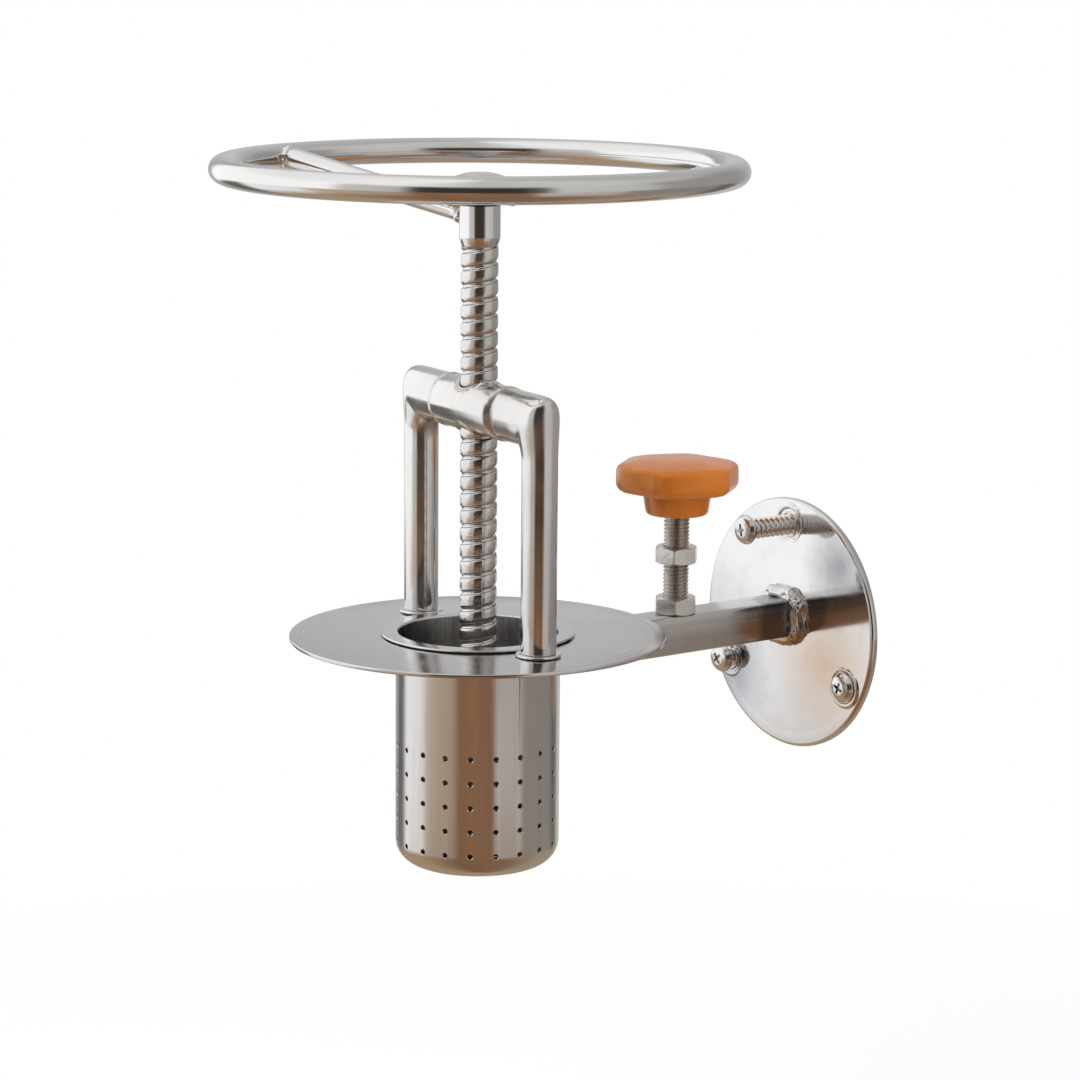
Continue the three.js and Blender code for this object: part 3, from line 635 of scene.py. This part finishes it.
yoke = dict(
    turn=(0, 0, -6.57), postRadius=6.55, postAt=45, washerTop=1.2, top=95.2, inner=4.2,
    foot=[(0, 6.0), (0.08, 6.4)], straight=(1.7, 4, 22, 44, 62), cornerPower=13,
    cornerAngles=(0, 13, 26, 37, 44, 49, 54, 59, 65, 73, 81, 90),
    barHalfHeight=9.75, barHalfDepth=8.3, barStart=22.5, barMiddle=85.45,
    stud=[(0, -6.3), (4.2, -6.3), (5, -5.5), (5, 2), (0, 2)],
    washer=[(5.3, 0), (7.3, 0), (8.35, 0.45, 0.15), (8.35, 1.2, 0.35), (5.3, 1.2)],
    bead=[(0, -1.2), (9.86, -1.2), (10.02, -0.85), (10.15, -0.45), (10.2, 0), (10.15, 0.45),
          (10.02, 0.85), (9.86, 1.2), (0, 1.2)],
    beadGap=1.25, beadNarrowing=0.145, beadCloud=(2.6, 0.35), beadRough=(9.2, 10), beadHalf=1.2,
    sleeveRadius=9.9, sleeveHalf=20,
    sleeveFillet=0.12, bushRadius=8.9, bushBore=7.25, bushEnds=(70, 101), bushFillet=0.4,
    bushCut=(60, 110))
collarWeld = dict(sides=14, inset=0.2, halfWidth=1.3, halfHeight=0.8, slim=0.6, sunk=0.1, cloud=(2.4, 1.2))


def makeLeg(name, side):
    radius, at, inner = yoke["postRadius"], yoke["postAt"], yoke["inner"]
    barHeight, barDepth, power = yoke["barHalfHeight"], yoke["barHalfDepth"], yoke["cornerPower"]
    turnX = at - radius - inner
    turnZ = yoke["barMiddle"] - barHeight - inner
    rings = [(yoke["washerTop"] + rise, size) for rise, size in yoke["foot"]]
    rings += [(height, radius) for height in yoke["straight"]]
    stations = [((at, 0, height), 0, (size, size)) for height, size in rings]
    for angle in yoke["cornerAngles"]:
        ray = angle * degree
        towardsSide = math.cos(ray) / (at + radius - turnX)
        towardsTop = math.sin(ray) / (yoke["top"] - turnZ)
        outer = (towardsSide ** power + towardsTop ** power) ** (-1 / power)  # a tight square corner
        middle = (outer + inner) / 2
        depth = radius + (barDepth - radius) * smoothShare(angle, 0, 90)
        place = (turnX + middle * math.cos(ray), 0, turnZ + middle * math.sin(ray))
        stations.append((place, -angle, ((outer - inner) / 2, depth)))
    start = yoke["barStart"]
    for along in (turnX - 3, start + 3, start + 0.3, start + 0.03, start):
        stations.append(((along, 0, yoke["barMiddle"]), -90, (barHeight, barDepth)))
    leg = lofted([((side * x, y, z), (0, side * turn, 0), halves)
                  for (x, y, z), turn, halves in stations], levels=3)
    stud = placed(spun(yoke["stud"], 48), (side * at, 0, 0))
    placed(joined(leg, stud), pressAt, yoke["turn"])
    finished(painted(leg, yokeSteel), name + "Post", name + "_leg", "press_head", 50)


def alongBar(obj, x):
    # Turned pieces of the cross bar: laid along X, then turned with the yoke
    placed(obj, (x, 0, yoke["barMiddle"]), (0, 90, 0))
    return placed(obj, pressAt, yoke["turn"])


def makeSleeve():
    half, radius, fillet = yoke["sleeveHalf"], yoke["sleeveRadius"], yoke["sleeveFillet"]
    tube = spun(rounded([(0, -half), (radius, -half, fillet), (radius, half, fillet), (0, half)]), 120)
    alongBar(tube, 0)
    carved(tube, placed(plug(yoke["bushRadius"], *yoke["bushCut"], 96), pressAt))
    finished(painted(tube, yokeSteel), "sleeveTube", "nut_sleeve", "press_head")
    for name, side in sides:
        bead = spun(rounded(yoke["bead"], 4), 140)
        roughened(bead, *yoke["beadCloud"],
                  lambda co: smoothShare(math.hypot(co.x, co.y), *yoke["beadRough"]))
        for vertex in bead.data.vertices:  # towards the leg it narrows to the leg's own depth
            share = smoothShare(side * vertex.co.z / mm, 0, yoke["beadHalf"])
            vertex.co.y *= 1 - yoke["beadNarrowing"] * share
        alongBar(bead, side * (half + yoke["beadGap"]))
        finished(painted(bead, ringSteel), name + "Ring", name + "_bead", "press_head",
                 50)


def makeCollar():
    # An uneven weld that lies on the sleeve's round surface, round the bush
    middle = yoke["bushRadius"] - collarWeld["inset"]
    section = []
    for step in range(collarWeld["sides"]):
        angle = 2 * math.pi * step / collarWeld["sides"]
        section.append((middle + collarWeld["halfWidth"] * math.cos(angle),
                        collarWeld["halfHeight"] * math.sin(angle)))
    weld = spun(section, 120, ring=True)
    for vertex in weld.data.vertices:
        # Slimmer at the front and back, where the sleeve falls away
        across = math.hypot(vertex.co.x, vertex.co.y) / mm
        slim = collarWeld["slim"] * (vertex.co.y / mm / across) ** 2
        narrower = (middle + (across - middle) * (1 - slim)) / across
        vertex.co.x *= narrower
        vertex.co.y *= narrower
        offset = vertex.co.y / mm
        saddle = math.sqrt(max(yoke["sleeveRadius"] ** 2 - offset ** 2, 4))
        vertex.co.z += (yoke["barMiddle"] + saddle - collarWeld["sunk"]) * mm
    return painted(roughened(weld, *collarWeld["cloud"]), yokeSteel)


def makeBush():
    # Its ends follow the sleeve's round surface
    radius, bore, soft = yoke["bushRadius"], yoke["bushBore"], yoke["bushFillet"]
    low, high = yoke["bushEnds"]
    outline = [(bore, low, soft), (radius, low, soft), (radius, high, soft), (bore, high, soft)]
    bush = spun(rounded(outline, 3), ring=True)
    limit = plug(yoke["sleeveRadius"] + 0.5, -14, 14, 160)
    carved(bush, placed(limit, (0, 0, yoke["barMiddle"]), (0, 90, 0)), "INTERSECT")
    placed(joined(painted(bush, boltSteel), makeCollar()), pressAt, yoke["turn"])
    finished(bush, "bushCollar", "thread_bush", "press_head", 40)


def atPost(obj, side, height=0):
    return placed(placed(obj, (side * yoke["postAt"], 0, height)), pressAt, yoke["turn"])


def makeFoot(name, side):
    washer = atPost(spun(rounded(yoke["washer"], 4), ring=True), side)
    finished(painted(washer, yokeSteel), name + "FootRing", name + "_washer", "press_head")
    height = nutShape["footHeight"]
    nut = atPost(hexNut(nutShape["footBore"], height), side, -plateThickness - height)
    finished(painted(nut, boltSteel), name + "FootNut", name + "_foot_nut", "press_head",
             25)


for name, side in sides:
    makeLeg(name, side)
    makeFoot(name, side)
makeSleeve()
makeBush()
print("yoke made")


# Plate and cup

plate = dict(outline=[(31.2, -plateThickness), (70.2, -plateThickness, 0.35), (70.2, 0, 0.4), (31.2, 0)],
             steps=256, studHole=5.3, studCut=(-4, 2))


def makePlate():
    disc = spun(rounded(plate["outline"], 4), plate["steps"], ring=True)
    placed(disc, pressAt)
    for side in (-1, 1):
        carved(disc, atPost(plug(plate["studHole"], *plate["studCut"], 40), side))
    finished(painted(disc, plateSteel), "plateDisc", "support_plate", "press_head")


cup = dict(
    outline=[(0, -87.3), (30.7, -87.3, 9), (30.7, 0.02, 0.1), (34.4, 0.02, 0.3), (36.3, 0.5, 0.15),
             (36.3, 1.2, 0.4), (29.8, 1.2, 0.8), (29.8, -86.4, 8.1), (0, -86.4)],
    steps=240, rows=5, columns=20, topRow=-41.1, rowPitch=9.2, firstColumn=-4.5,
    cutter=[(0, 28.8), (0.95, 28.8), (0.95, 30.5), (1.22, 30.75), (1.22, 31.4), (0, 31.4)],
    floorCutter=[(0, -88), (1.25, -88), (1.25, -87.25), (1, -87.0), (1, -85), (0, -85)],
    floorPitch=6.8, floorRings=3)


def makeCup():
    shell = spun(rounded(cup["outline"], 10), cup["steps"])
    drill = placed(spun(cup["cutter"], 20), turn=(0, 90, 0))
    drills = []
    for row in range(cup["rows"]):
        for column in range(cup["columns"]):
            turn = cup["firstColumn"] + 360 / cup["columns"] * column
            place = (0, 0, cup["topRow"] - cup["rowPitch"] * row)
            drills.append(placed(copied(drill, "drill"), place, (0, 0, turn)))
    floorDrill = spun(cup["floorCutter"], 20)
    rings = cup["floorRings"]
    for i in range(-rings, rings + 1):
        for j in range(max(-rings, -rings - i), min(rings, rings - i) + 1):
            place = (cup["floorPitch"] * (i + j / 2), cup["floorPitch"] * j * math.sin(60 * degree), 0)
            drills.append(placed(copied(floorDrill, "drill"), place))
    bpy.data.objects.remove(drill)
    bpy.data.objects.remove(floorDrill)
    carved(shell, joined(*drills))
    placed(shell, pressAt)
    finished(painted(shell, cupSteel), "cupShell", "cup", "press_head", 28)


makePlate()
makeCup()
print("plate and cup made")


# Arm, bar and their welds

arm = dict(half=7.5, front=-93, back=-5, middle=3.4, wall=1.5, lip=0.25, corner=1.1, boreDepth=84,
           bar=(-117, -15.2), barHalf=5.7, barSoften=0.45, blockBack=-97, blockTop=12.55)
# A bead in the corner between block and plate: where along the arm, and how thick it is there
barBead = dict(out=0.9, down=0.95, clearance=0.02, cloud=(1.4, 0.7),
               line=[(-116, 0.7), (-115.6, 1.15), (-114.6, 1.3), (-107, 1.3), (-99.4, 1.3),
                     (-98.4, 1.15), (-98, 0.7)])


def squareBar(half, front, back):
    unpick()
    middle = (0, (front + back) / 2 * mm, arm["middle"] * mm)
    bpy.ops.mesh.primitive_cube_add(size=2 * half * mm, location=middle)
    bar = bpy.context.object
    bar.scale.y = (back - front) / (2 * half)
    return settled(bar)


def makeArm():
    tube = squareBar(arm["half"], arm["front"], arm["back"])

    def runsAlong(edge):
        first, second = (tube.data.vertices[i].co for i in edge.vertices)
        return abs(first.y - second.y) > mm

    selectParts(tube, "EDGE", runsAlong)
    bpy.ops.mesh.bevel(offset=arm["corner"] * mm, segments=5, affect="EDGES")
    selectParts(tube, "FACE", lambda face: face.normal.y < -0.9)
    bpy.ops.mesh.inset(thickness=arm["lip"] * mm, depth=0)
    bpy.ops.mesh.inset(thickness=(arm["wall"] - arm["lip"]) * mm, depth=0)
    bpy.ops.mesh.extrude_region_move(TRANSFORM_OT_translate={"value": (0, arm["boreDepth"] * mm, 0)})
    objectMode()
    finished(painted(tube, armSteel), "armTube", "arm_tube", "wall_bracket")


def makeBar():
    bar = squareBar(arm["barHalf"], *arm["bar"])
    blockBack = arm["blockBack"] * mm
    bpy.ops.object.mode_set(mode="EDIT")
    bpy.ops.mesh.select_all(action="SELECT")
    bpy.ops.mesh.bisect(plane_co=(0, blockBack, 0), plane_no=(0, 1, 0))
    selectParts(bar, "FACE", lambda face: face.normal.z > 0.9 and face.center.y < blockBack)
    rise = arm["blockTop"] - arm["middle"] - arm["barHalf"]
    bpy.ops.mesh.extrude_region_move(TRANSFORM_OT_translate={"value": (0, 0, rise * mm)})
    sealed()
    applied(bar, "BEVEL", width=arm["barSoften"] * mm, segments=3, limit_method="ANGLE",
            angle_limit=40 * degree)
    finished(painted(bar, armSteel), "slideBar", "arm_bar", "press_head")


def makeBarBeads():
    top, face, clearance = arm["blockTop"], arm["barHalf"], barBead["clearance"]
    for name, side in sides:
        x, z = side * (face + barBead["out"]), top - barBead["down"]
        bead = lofted([((x, along, z), (90, 0, 0), (size, size)) for along, size in barBead["line"]], 12, 3)
        roughened(bead, *barBead["cloud"])
        for vertex in bead.data.vertices:
            vertex.co.z = min(vertex.co.z, (top - clearance) * mm)
            vertex.co.x = side * max(side * vertex.co.x, (face + clearance) * mm)
        finished(painted(bead, weldSteel), name + "BarBead", "bar_weld_" + name, "press_head",
                 60)


flangeBead = dict(half=8.9, radius=2.7, corner=5.0, front=6.6, cloud=(2.9, 1.9))


def makeFlangeWeld():
    # A bead laid round the arm: a rounded square line, thickened and made uneven
    unpick()
    bpy.ops.mesh.primitive_plane_add(size=2 * flangeBead["half"] * mm, location=(0, 0, 0))
    bead = bpy.context.object
    bpy.ops.object.mode_set(mode="EDIT")
    bpy.ops.mesh.select_mode(type="VERT")
    bpy.ops.mesh.select_all(action="SELECT")
    bpy.ops.mesh.delete(type="ONLY_FACE")
    bpy.ops.mesh.select_all(action="SELECT")
    bpy.ops.mesh.bevel(affect="VERTICES", offset=flangeBead["corner"] * mm, segments=8)
    objectMode()
    bpy.ops.object.convert(target="CURVE")
    bead.data.bevel_depth = flangeBead["radius"] * mm
    bead.data.bevel_resolution = 8
    bpy.ops.object.convert(target="MESH")
    applied(bead, "SUBSURF", levels=2, render_levels=2, subdivision_type="SIMPLE")
    roughened(bead, *flangeBead["cloud"])
    placed(bead, (0, arm["middle"], flangeBead["front"]))
    placed(bead, turn=wallTurn)
    finished(painted(bead, beadSteel), "armBead", "flange_weld", "wall_bracket", 60)


makeArm()
makeBar()
makeBarBeads()
makeFlangeWeld()
print("arm made")


# Clamp

clamp = dict(rodRadius=4.95, rootRadius=4.4, pitch=1.5, rodLow=-3.4, threadTop=35.6, rodTop=49.9,
             turnCorners=(0, 0.18, 0.66, 0.84, 1.32),  # of one turn: crest, crest, root, root, crest
             padLow=-4.95, padHeight=1.5, padRadius=4.3, padFillet=0.35, knobTurn=8)
# node, body, height of its underside, turn
clampNuts = {
    "weldedHex": ("welded_nut", "wall_bracket", -3.2, 21),
    "lockHex": ("lock_nut", "clamp_screw", 16.7, 16),
}
knobShape = dict(
    body=[(15.4, 44.9), (21.5, 44.8), (23.35, 45.1), (24.7, 45.9), (25.6, 47.1), (25.9, 48.5),
          (25.9, 50.4), (25.9, 52.5), (25.75, 53.7), (25.3, 54.7), (24.5, 55.4), (23.4, 55.85),
          (21, 56.35), (17.4, 56.95), (12.3, 57.6), (7.2, 57.9), (2, 58.0), (0.1, 58.0)],
    corner=4.7,
    skirt=[(4.7, 35.8, 0.3), (12, 35.8, 1.6), (13.5, 45.1), (4.7, 45.1)])


def makeRod():
    radius, root, top = clamp["rodRadius"], clamp["rootRadius"], clamp["threadTop"]
    thread = list(zip((radius, radius, root, root, radius), clamp["turnCorners"]))
    rod = threaded(thread, clamp["pitch"], clamp["rodLow"], top)
    placed(joined(rod, plug(root, top - 1, clamp["rodTop"])), clampAt)
    finished(painted(rod, boltSteel), "clampBolt", "clamp_rod", "clamp_screw", 30)


def makePad():
    low, radius, soft = clamp["padLow"], clamp["padRadius"], clamp["padFillet"]
    high = low + clamp["padHeight"]
    pad = spun(rounded([(0, low), (radius, low, soft), (radius, high, soft), (0, high)]), 64)
    finished(painted(placed(pad, clampAt), padBronze), "clampShoe", "clamp_pad", "clamp_foot")


def makeClampNuts():
    for name, (node, body, rise, turn) in clampNuts.items():
        nut = placed(hexNut(nutShape["clampBore"], nutShape["height"]), above(clampAt, rise), (0, 0, turn))
        finished(painted(nut, nutSteel), name, node, body, 25)


def makeKnob():
    body = stacked(knobShape["body"], knobShape["corner"], 8)
    skirt = spun(rounded(knobShape["skirt"], 4), ring=True)
    placed(joined(body, skirt), clampAt, (0, 0, clamp["knobTurn"]))
    finished(painted(body, orangeKnob), "clampKnob", "knob", "clamp_screw", 50)


makeRod()
makePad()
makeClampNuts()
makeKnob()
print("clamp made")


# Wall flange and its screws

flange = dict(
    outline=[(0, 3.5), (16, 3.5), (47.1, 1.6), (47.3, 0), (50.0, 0, 0.3), (50.1, 2.3, 1.3),
             (48.9, 2.95, 0.9), (44.5, 3.17, 4), (16, 5.0, 8), (0, 5.0)],
    steps=256, holeCircle=40, dishCut=7.4, dishCutEnds=(-1, 8),
    dish=[(4.4, 2.1), (8.7, 2.1), (8.7, 3.1, 0.3), (7.6, 3.95, 0.6), (6.8, 3.85, 0.3), (6.1, 3.26, 0.4),
          (5.3, 3.3, 0.3), (5.0, 3.75, 0.2), (4.4, 3.7, 0.2)])
# turn round the flange, length, how far it stands out, turn of its recess
wallScrews = {
    "wall_screw_top": (90, 32, 21.9, 12),
    "wall_screw_left": (210, 11, 4.2, 40),
    "wall_screw_right": (330, 11, 0, 68),
}
wallScrew = dict(
    floor=3.307, pitch=2.5, tip=4, tipRadius=1, blankRadius=5.1,
    thread=[(2.8, 0), (2.9, 0.35), (4.0, 1.05), (4.1, 1.25), (4.0, 1.45), (2.9, 2.15)],
    head=[(0, -0.4), (2, -0.4), (5.85, 0, 0.25), (5.85, 0.9, 0.4), (4.9, 2.5, 2), (2.9, 3.2, 2), (0, 3.38)],
    slot=(6.2, 1.5, 3.6), slotAt=3.4, slotTaper=0.62)


def onHoleCircle(turn, height=0):
    radius = flange["holeCircle"]
    return (radius * math.cos(turn * degree), radius * math.sin(turn * degree), height)


def makeFlange():
    disc = spun(rounded(flange["outline"], 6), flange["steps"])
    dishes = []
    for values in wallScrews.values():
        place = onHoleCircle(values[0])
        carved(disc, placed(plug(flange["dishCut"], *flange["dishCutEnds"], 64), place))
        dishes.append(placed(spun(rounded(flange["dish"], 4), 64, ring=True), place))
    placed(joined(disc, *dishes), turn=wallTurn)
    finished(painted(disc, discSteel), "wallDisc", "wall_flange", "wall_bracket")


def makeShank(length):
    # The thread runs out in a cone at the tip
    shank = threaded(wallScrew["thread"], wallScrew["pitch"], -length, -0.05)
    radius, coneTop = wallScrew["blankRadius"], wallScrew["tip"] - length
    blank = [(0, -length), (wallScrew["tipRadius"], -length), (radius, coneTop), (radius, 1), (0, 1)]
    return carved(shank, spun(blank, 48), "INTERSECT")


def makeHead():
    # A domed head with a cross recess, which narrows towards its floor
    head = spun(rounded(wallScrew["head"]), 80)
    taper = wallScrew["slotTaper"]
    for quarter in (0, 90):
        unpick()
        bpy.ops.mesh.primitive_cube_add(size=mm, location=(0, 0, wallScrew["slotAt"] * mm),
                                        rotation=(0, 0, quarter * degree), scale=wallScrew["slot"])
        slot = settled(bpy.context.object)
        selectParts(slot, "FACE", lambda face: face.normal.z < -0.9)
        bpy.ops.transform.resize(value=(taper, taper, 1), center_override=(0, 0, 0))
        objectMode()
        carved(head, slot)
    return head


def makeWallScrew(node, turn, length, gap, slotTurn):
    screw = joined(makeShank(length), makeHead())
    place = onHoleCircle(turn, wallScrew["floor"] + gap)
    placed(placed(screw, place, (0, 0, slotTurn)), turn=wallTurn)
    finished(painted(screw, brightSteel), node + "Bolt", node, "wall_bracket", 30)


makeFlange()
for node, values in wallScrews.items():
    makeWallScrew(node, *values)
print("flange made")


# Camera

view = dict(place=(1026.5, -891.3, 285.5), azimuth=53.32, down=10.578, roll=0.455, focal=3463.8,
            frame=1080, sensor=36)


def makeCamera():
    azimuth, down, roll = (view[key] * degree for key in ("azimuth", "down", "roll"))
    ahead = (-math.sin(azimuth) * math.cos(down), math.cos(azimuth) * math.cos(down), -math.sin(down))
    forward = Vector(ahead)
    level = forward.cross(Vector((0, 0, 1))).normalized()
    upright = level.cross(forward)
    right = level * math.cos(roll) + upright * math.sin(roll)
    up = upright * math.cos(roll) - level * math.sin(roll)
    bpy.ops.object.camera_add()
    camera = bpy.context.object
    axes = Matrix((right, up, -forward)).transposed().to_4x4()
    camera.matrix_world = Matrix.Translation(Vector(view["place"]) * mm) @ axes
    camera.data.sensor_width = view["sensor"]
    camera.data.lens = view["sensor"] * view["focal"] / view["frame"]
    camera.data.clip_start = 0.01
    camera.data.clip_end = 200
    scene.camera = camera


makeCamera()


# Studio, in metres: floor, soft surround for the reflections, lamps

studio = dict(middle=-0.12, surroundRise=0.08, surround=2.6, footLift=0.008, viewTurn=-35.6,
              floorAt=-0.3, floorSize=120, shadowNear=0.42, shadowFar=0.75, lampAim=0.05, world=0.75)
# Angle about the object from the camera, positive to its right, and the tone seen there
highTones = [(-180, (0.6, 0.6, 0.6)), (-150, (1.0, 1.0, 1.0)), (-40, (1.1, 1.1, 1.1)),
             (0, (0.6, 0.59, 0.57)), (60, (0.7, 0.69, 0.67)), (130, (0.5, 0.5, 0.5)),
             (180, (0.6, 0.6, 0.6))]
middleTones = [(-180, (0.6, 0.6, 0.61)), (-166, (0.5, 0.5, 0.5)), (-156, (0.42, 0.42, 0.42)),
               (-150, (1.2, 1.2, 1.21)), (-66, (1.2, 1.2, 1.21)), (-58, (0.68, 0.66, 0.64)),
               (-34, (0.6, 0.57, 0.54)), (-27, (0.055, 0.045, 0.038)), (16, (0.045, 0.037, 0.032)),
               (25, (0.14, 0.115, 0.1)), (33, (0.66, 0.64, 0.62)), (72, (0.6, 0.59, 0.57)),
               (84, (0.38, 0.37, 0.36)), (140, (0.35, 0.345, 0.34)), (160, (0.5, 0.5, 0.5)),
               (180, (0.6, 0.6, 0.61))]
lowTones = [(-180, (0.5, 0.48, 0.46)), (-150, (0.42, 0.4, 0.38)), (-142, (0.15, 0.135, 0.125)),
            (-126, (0.17, 0.155, 0.145)), (-116, (1.05, 1.05, 1.07)), (-84, (0.95, 0.94, 0.93)),
            (-74, (0.6, 0.5, 0.4)), (-60, (0.52, 0.41, 0.31)), (-34, (0.44, 0.33, 0.245)),
            (-27, (0.26, 0.135, 0.07)), (-8, (0.31, 0.165, 0.09)), (19, (0.25, 0.13, 0.07)),
            (25, (0.55, 0.5, 0.46)), (58, (0.52, 0.47, 0.43)), (66, (0.3, 0.265, 0.235)),
            (120, (0.28, 0.26, 0.245)), (130, (0.14, 0.13, 0.122)), (142, (0.19, 0.18, 0.17)),
            (151, (0.62, 0.6, 0.58)), (180, (0.5, 0.48, 0.46))]
underTones = [(-180, (0.42, 0.33, 0.24)), (-90, (0.46, 0.33, 0.21)), (-30, (0.25, 0.135, 0.07)),
              (40, (0.27, 0.155, 0.085)), (100, (0.4, 0.32, 0.25)), (180, (0.42, 0.33, 0.24))]
# Rise of the direction where other tones than the middle ones begin, and where they are full
toneBands = ((-0.175, -0.225, lowTones), (-0.42, -0.62, underTones), (0.42, 0.62, highTones))


def ramped(tree, share, tones):
    ramp = addNode(tree, "ValToRGB", {"Fac": share})
    stops = ramp.color_ramp.elements
    while len(stops) < len(tones):
        stops.new(0.5)
    for stop, (angle, tone) in zip(stops, tones):
        stop.position = 0.5 + angle / 360
    for stop, (angle, tone) in zip(stops, tones):
        stop.color = (*tone, 1)
    return ramp.outputs["Color"]


def onlyReflected(obj):
    obj.visible_camera = False
    obj.visible_diffuse = False
    obj.visible_shadow = False


def surroundLight():
    material = bpy.data.materials.new("surroundLight")
    material.use_nodes = True
    tree = material.node_tree
    tree.nodes.clear()
    direction = onVector(tree, "NORMALIZE", addNode(tree, "TexCoord").outputs["Object"])
    axes = addNode(tree, "SeparateXYZ", {"Vector": direction}).outputs
    angle = calculated(tree, "ARCTAN2", axes["Y"], axes["X"])
    share = ranged(tree, angle, -math.pi, math.pi, 0, 1)
    tone = ramped(tree, share, middleTones)
    for start, end, tones in toneBands:
        tone = mixed(tree, ranged(tree, axes["Z"], start, end, 0, 1), tone, ramped(tree, share, tones))
    light = addNode(tree, "Emission", {"Color": tone, "Strength": 1.0})
    output = addNode(tree, "OutputMaterial")
    tree.links.new(light.outputs["Emission"], output.inputs["Surface"])
    return material


def makeSurround():
    # A dome with a flat foot just over the floor, whose tones depend on the direction alone
    reach = studio["surround"]
    foot = studio["floorAt"] + studio["footLift"] - studio["surroundRise"]
    arc = [(reach / mm * math.sin(a * degree), max(-reach * math.cos(a * degree), foot) / mm)
           for a in range(0, 181, 3) if a == 0 or -reach * math.cos((a + 3) * degree) > foot]
    shell = spun(arc)
    shell.rotation_euler = (0, 0, studio["viewTurn"] * degree)
    shell.location = (0, studio["middle"], studio["surroundRise"])
    shell.name = "surround"
    shell.data.materials.append(surroundLight())
    onlyReflected(shell)


def seenRays(tree):
    # 1 for rays that look at the backdrop: straight, by a mirror or through glass
    path = addNode(tree, "LightPath").outputs
    seen = calculated(tree, "MAXIMUM", path["Is Camera Ray"], path["Is Glossy Ray"])
    return calculated(tree, "MAXIMUM", seen, path["Is Transmission Ray"])


def makeFloor():
    unpick()
    bpy.ops.mesh.primitive_plane_add(size=studio["floorSize"], location=(0, 0, studio["floorAt"]))
    floor = bpy.context.object
    floor.name = "floor"
    material, tree, shader, coords = newMaterial("paleFloor")
    shader.inputs["Base Color"].default_value = (0.92, 0.92, 0.92, 1)
    shader.inputs["Roughness"].default_value = 0.9
    away = onVector(tree, "DISTANCE", coords, (0, studio["middle"], 0))
    far = ranged(tree, away, studio["shadowNear"], studio["shadowFar"], 0, 1)
    share = calculated(tree, "MULTIPLY", seenRays(tree), far)
    white = addNode(tree, "Emission", {"Color": (1, 1, 1, 1), "Strength": 1.0}).outputs["Emission"]
    blend = addNode(tree, "MixShader", {"Fac": share, 1: shader.outputs["BSDF"], 2: white})
    output = next(node for node in tree.nodes if node.type == "OUTPUT_MATERIAL")
    tree.links.new(blend.outputs["Shader"], output.inputs["Surface"])
    floor.data.materials.append(material)


def makeWorld():
    world = bpy.data.worlds.new("studioWorld")
    scene.world = world
    world.use_nodes = True
    tree = world.node_tree
    background = tree.nodes["Background"]
    background.inputs["Color"].default_value = (1, 1, 1, 1)
    strength = ranged(tree, seenRays(tree), 0, 1, studio["world"], 1)
    tree.links.new(strength, background.inputs["Strength"])


# place, size, watts
lamps = {
    "keyLamp": ((0.2, -1.5, 1.1), (0.9, 0.9), 9),
    "fillLamp": ((1.3, 0.6, 0.8), (0.9, 0.9), 4),
    "topLamp": ((-0.2, -0.2, 1.5), (1.0, 1.0), 7),
}


def makeLamps():
    for name, (place, size, power) in lamps.items():
        bpy.ops.object.light_add(type="AREA", location=place)
        lamp = bpy.context.object
        lamp.name = name
        lamp.data.shape = "RECTANGLE"
        lamp.data.size, lamp.data.size_y = size
        lamp.data.energy = power
        lamp.visible_glossy = False
        toObject = Vector((0, studio["middle"], studio["lampAim"])) - Vector(place)
        lamp.rotation_euler = toObject.to_track_quat("-Z", "Y").to_euler()


makeSurround()
makeFloor()
makeWorld()
makeLamps()
scene.view_settings.view_transform = "Standard"
print("studio made")
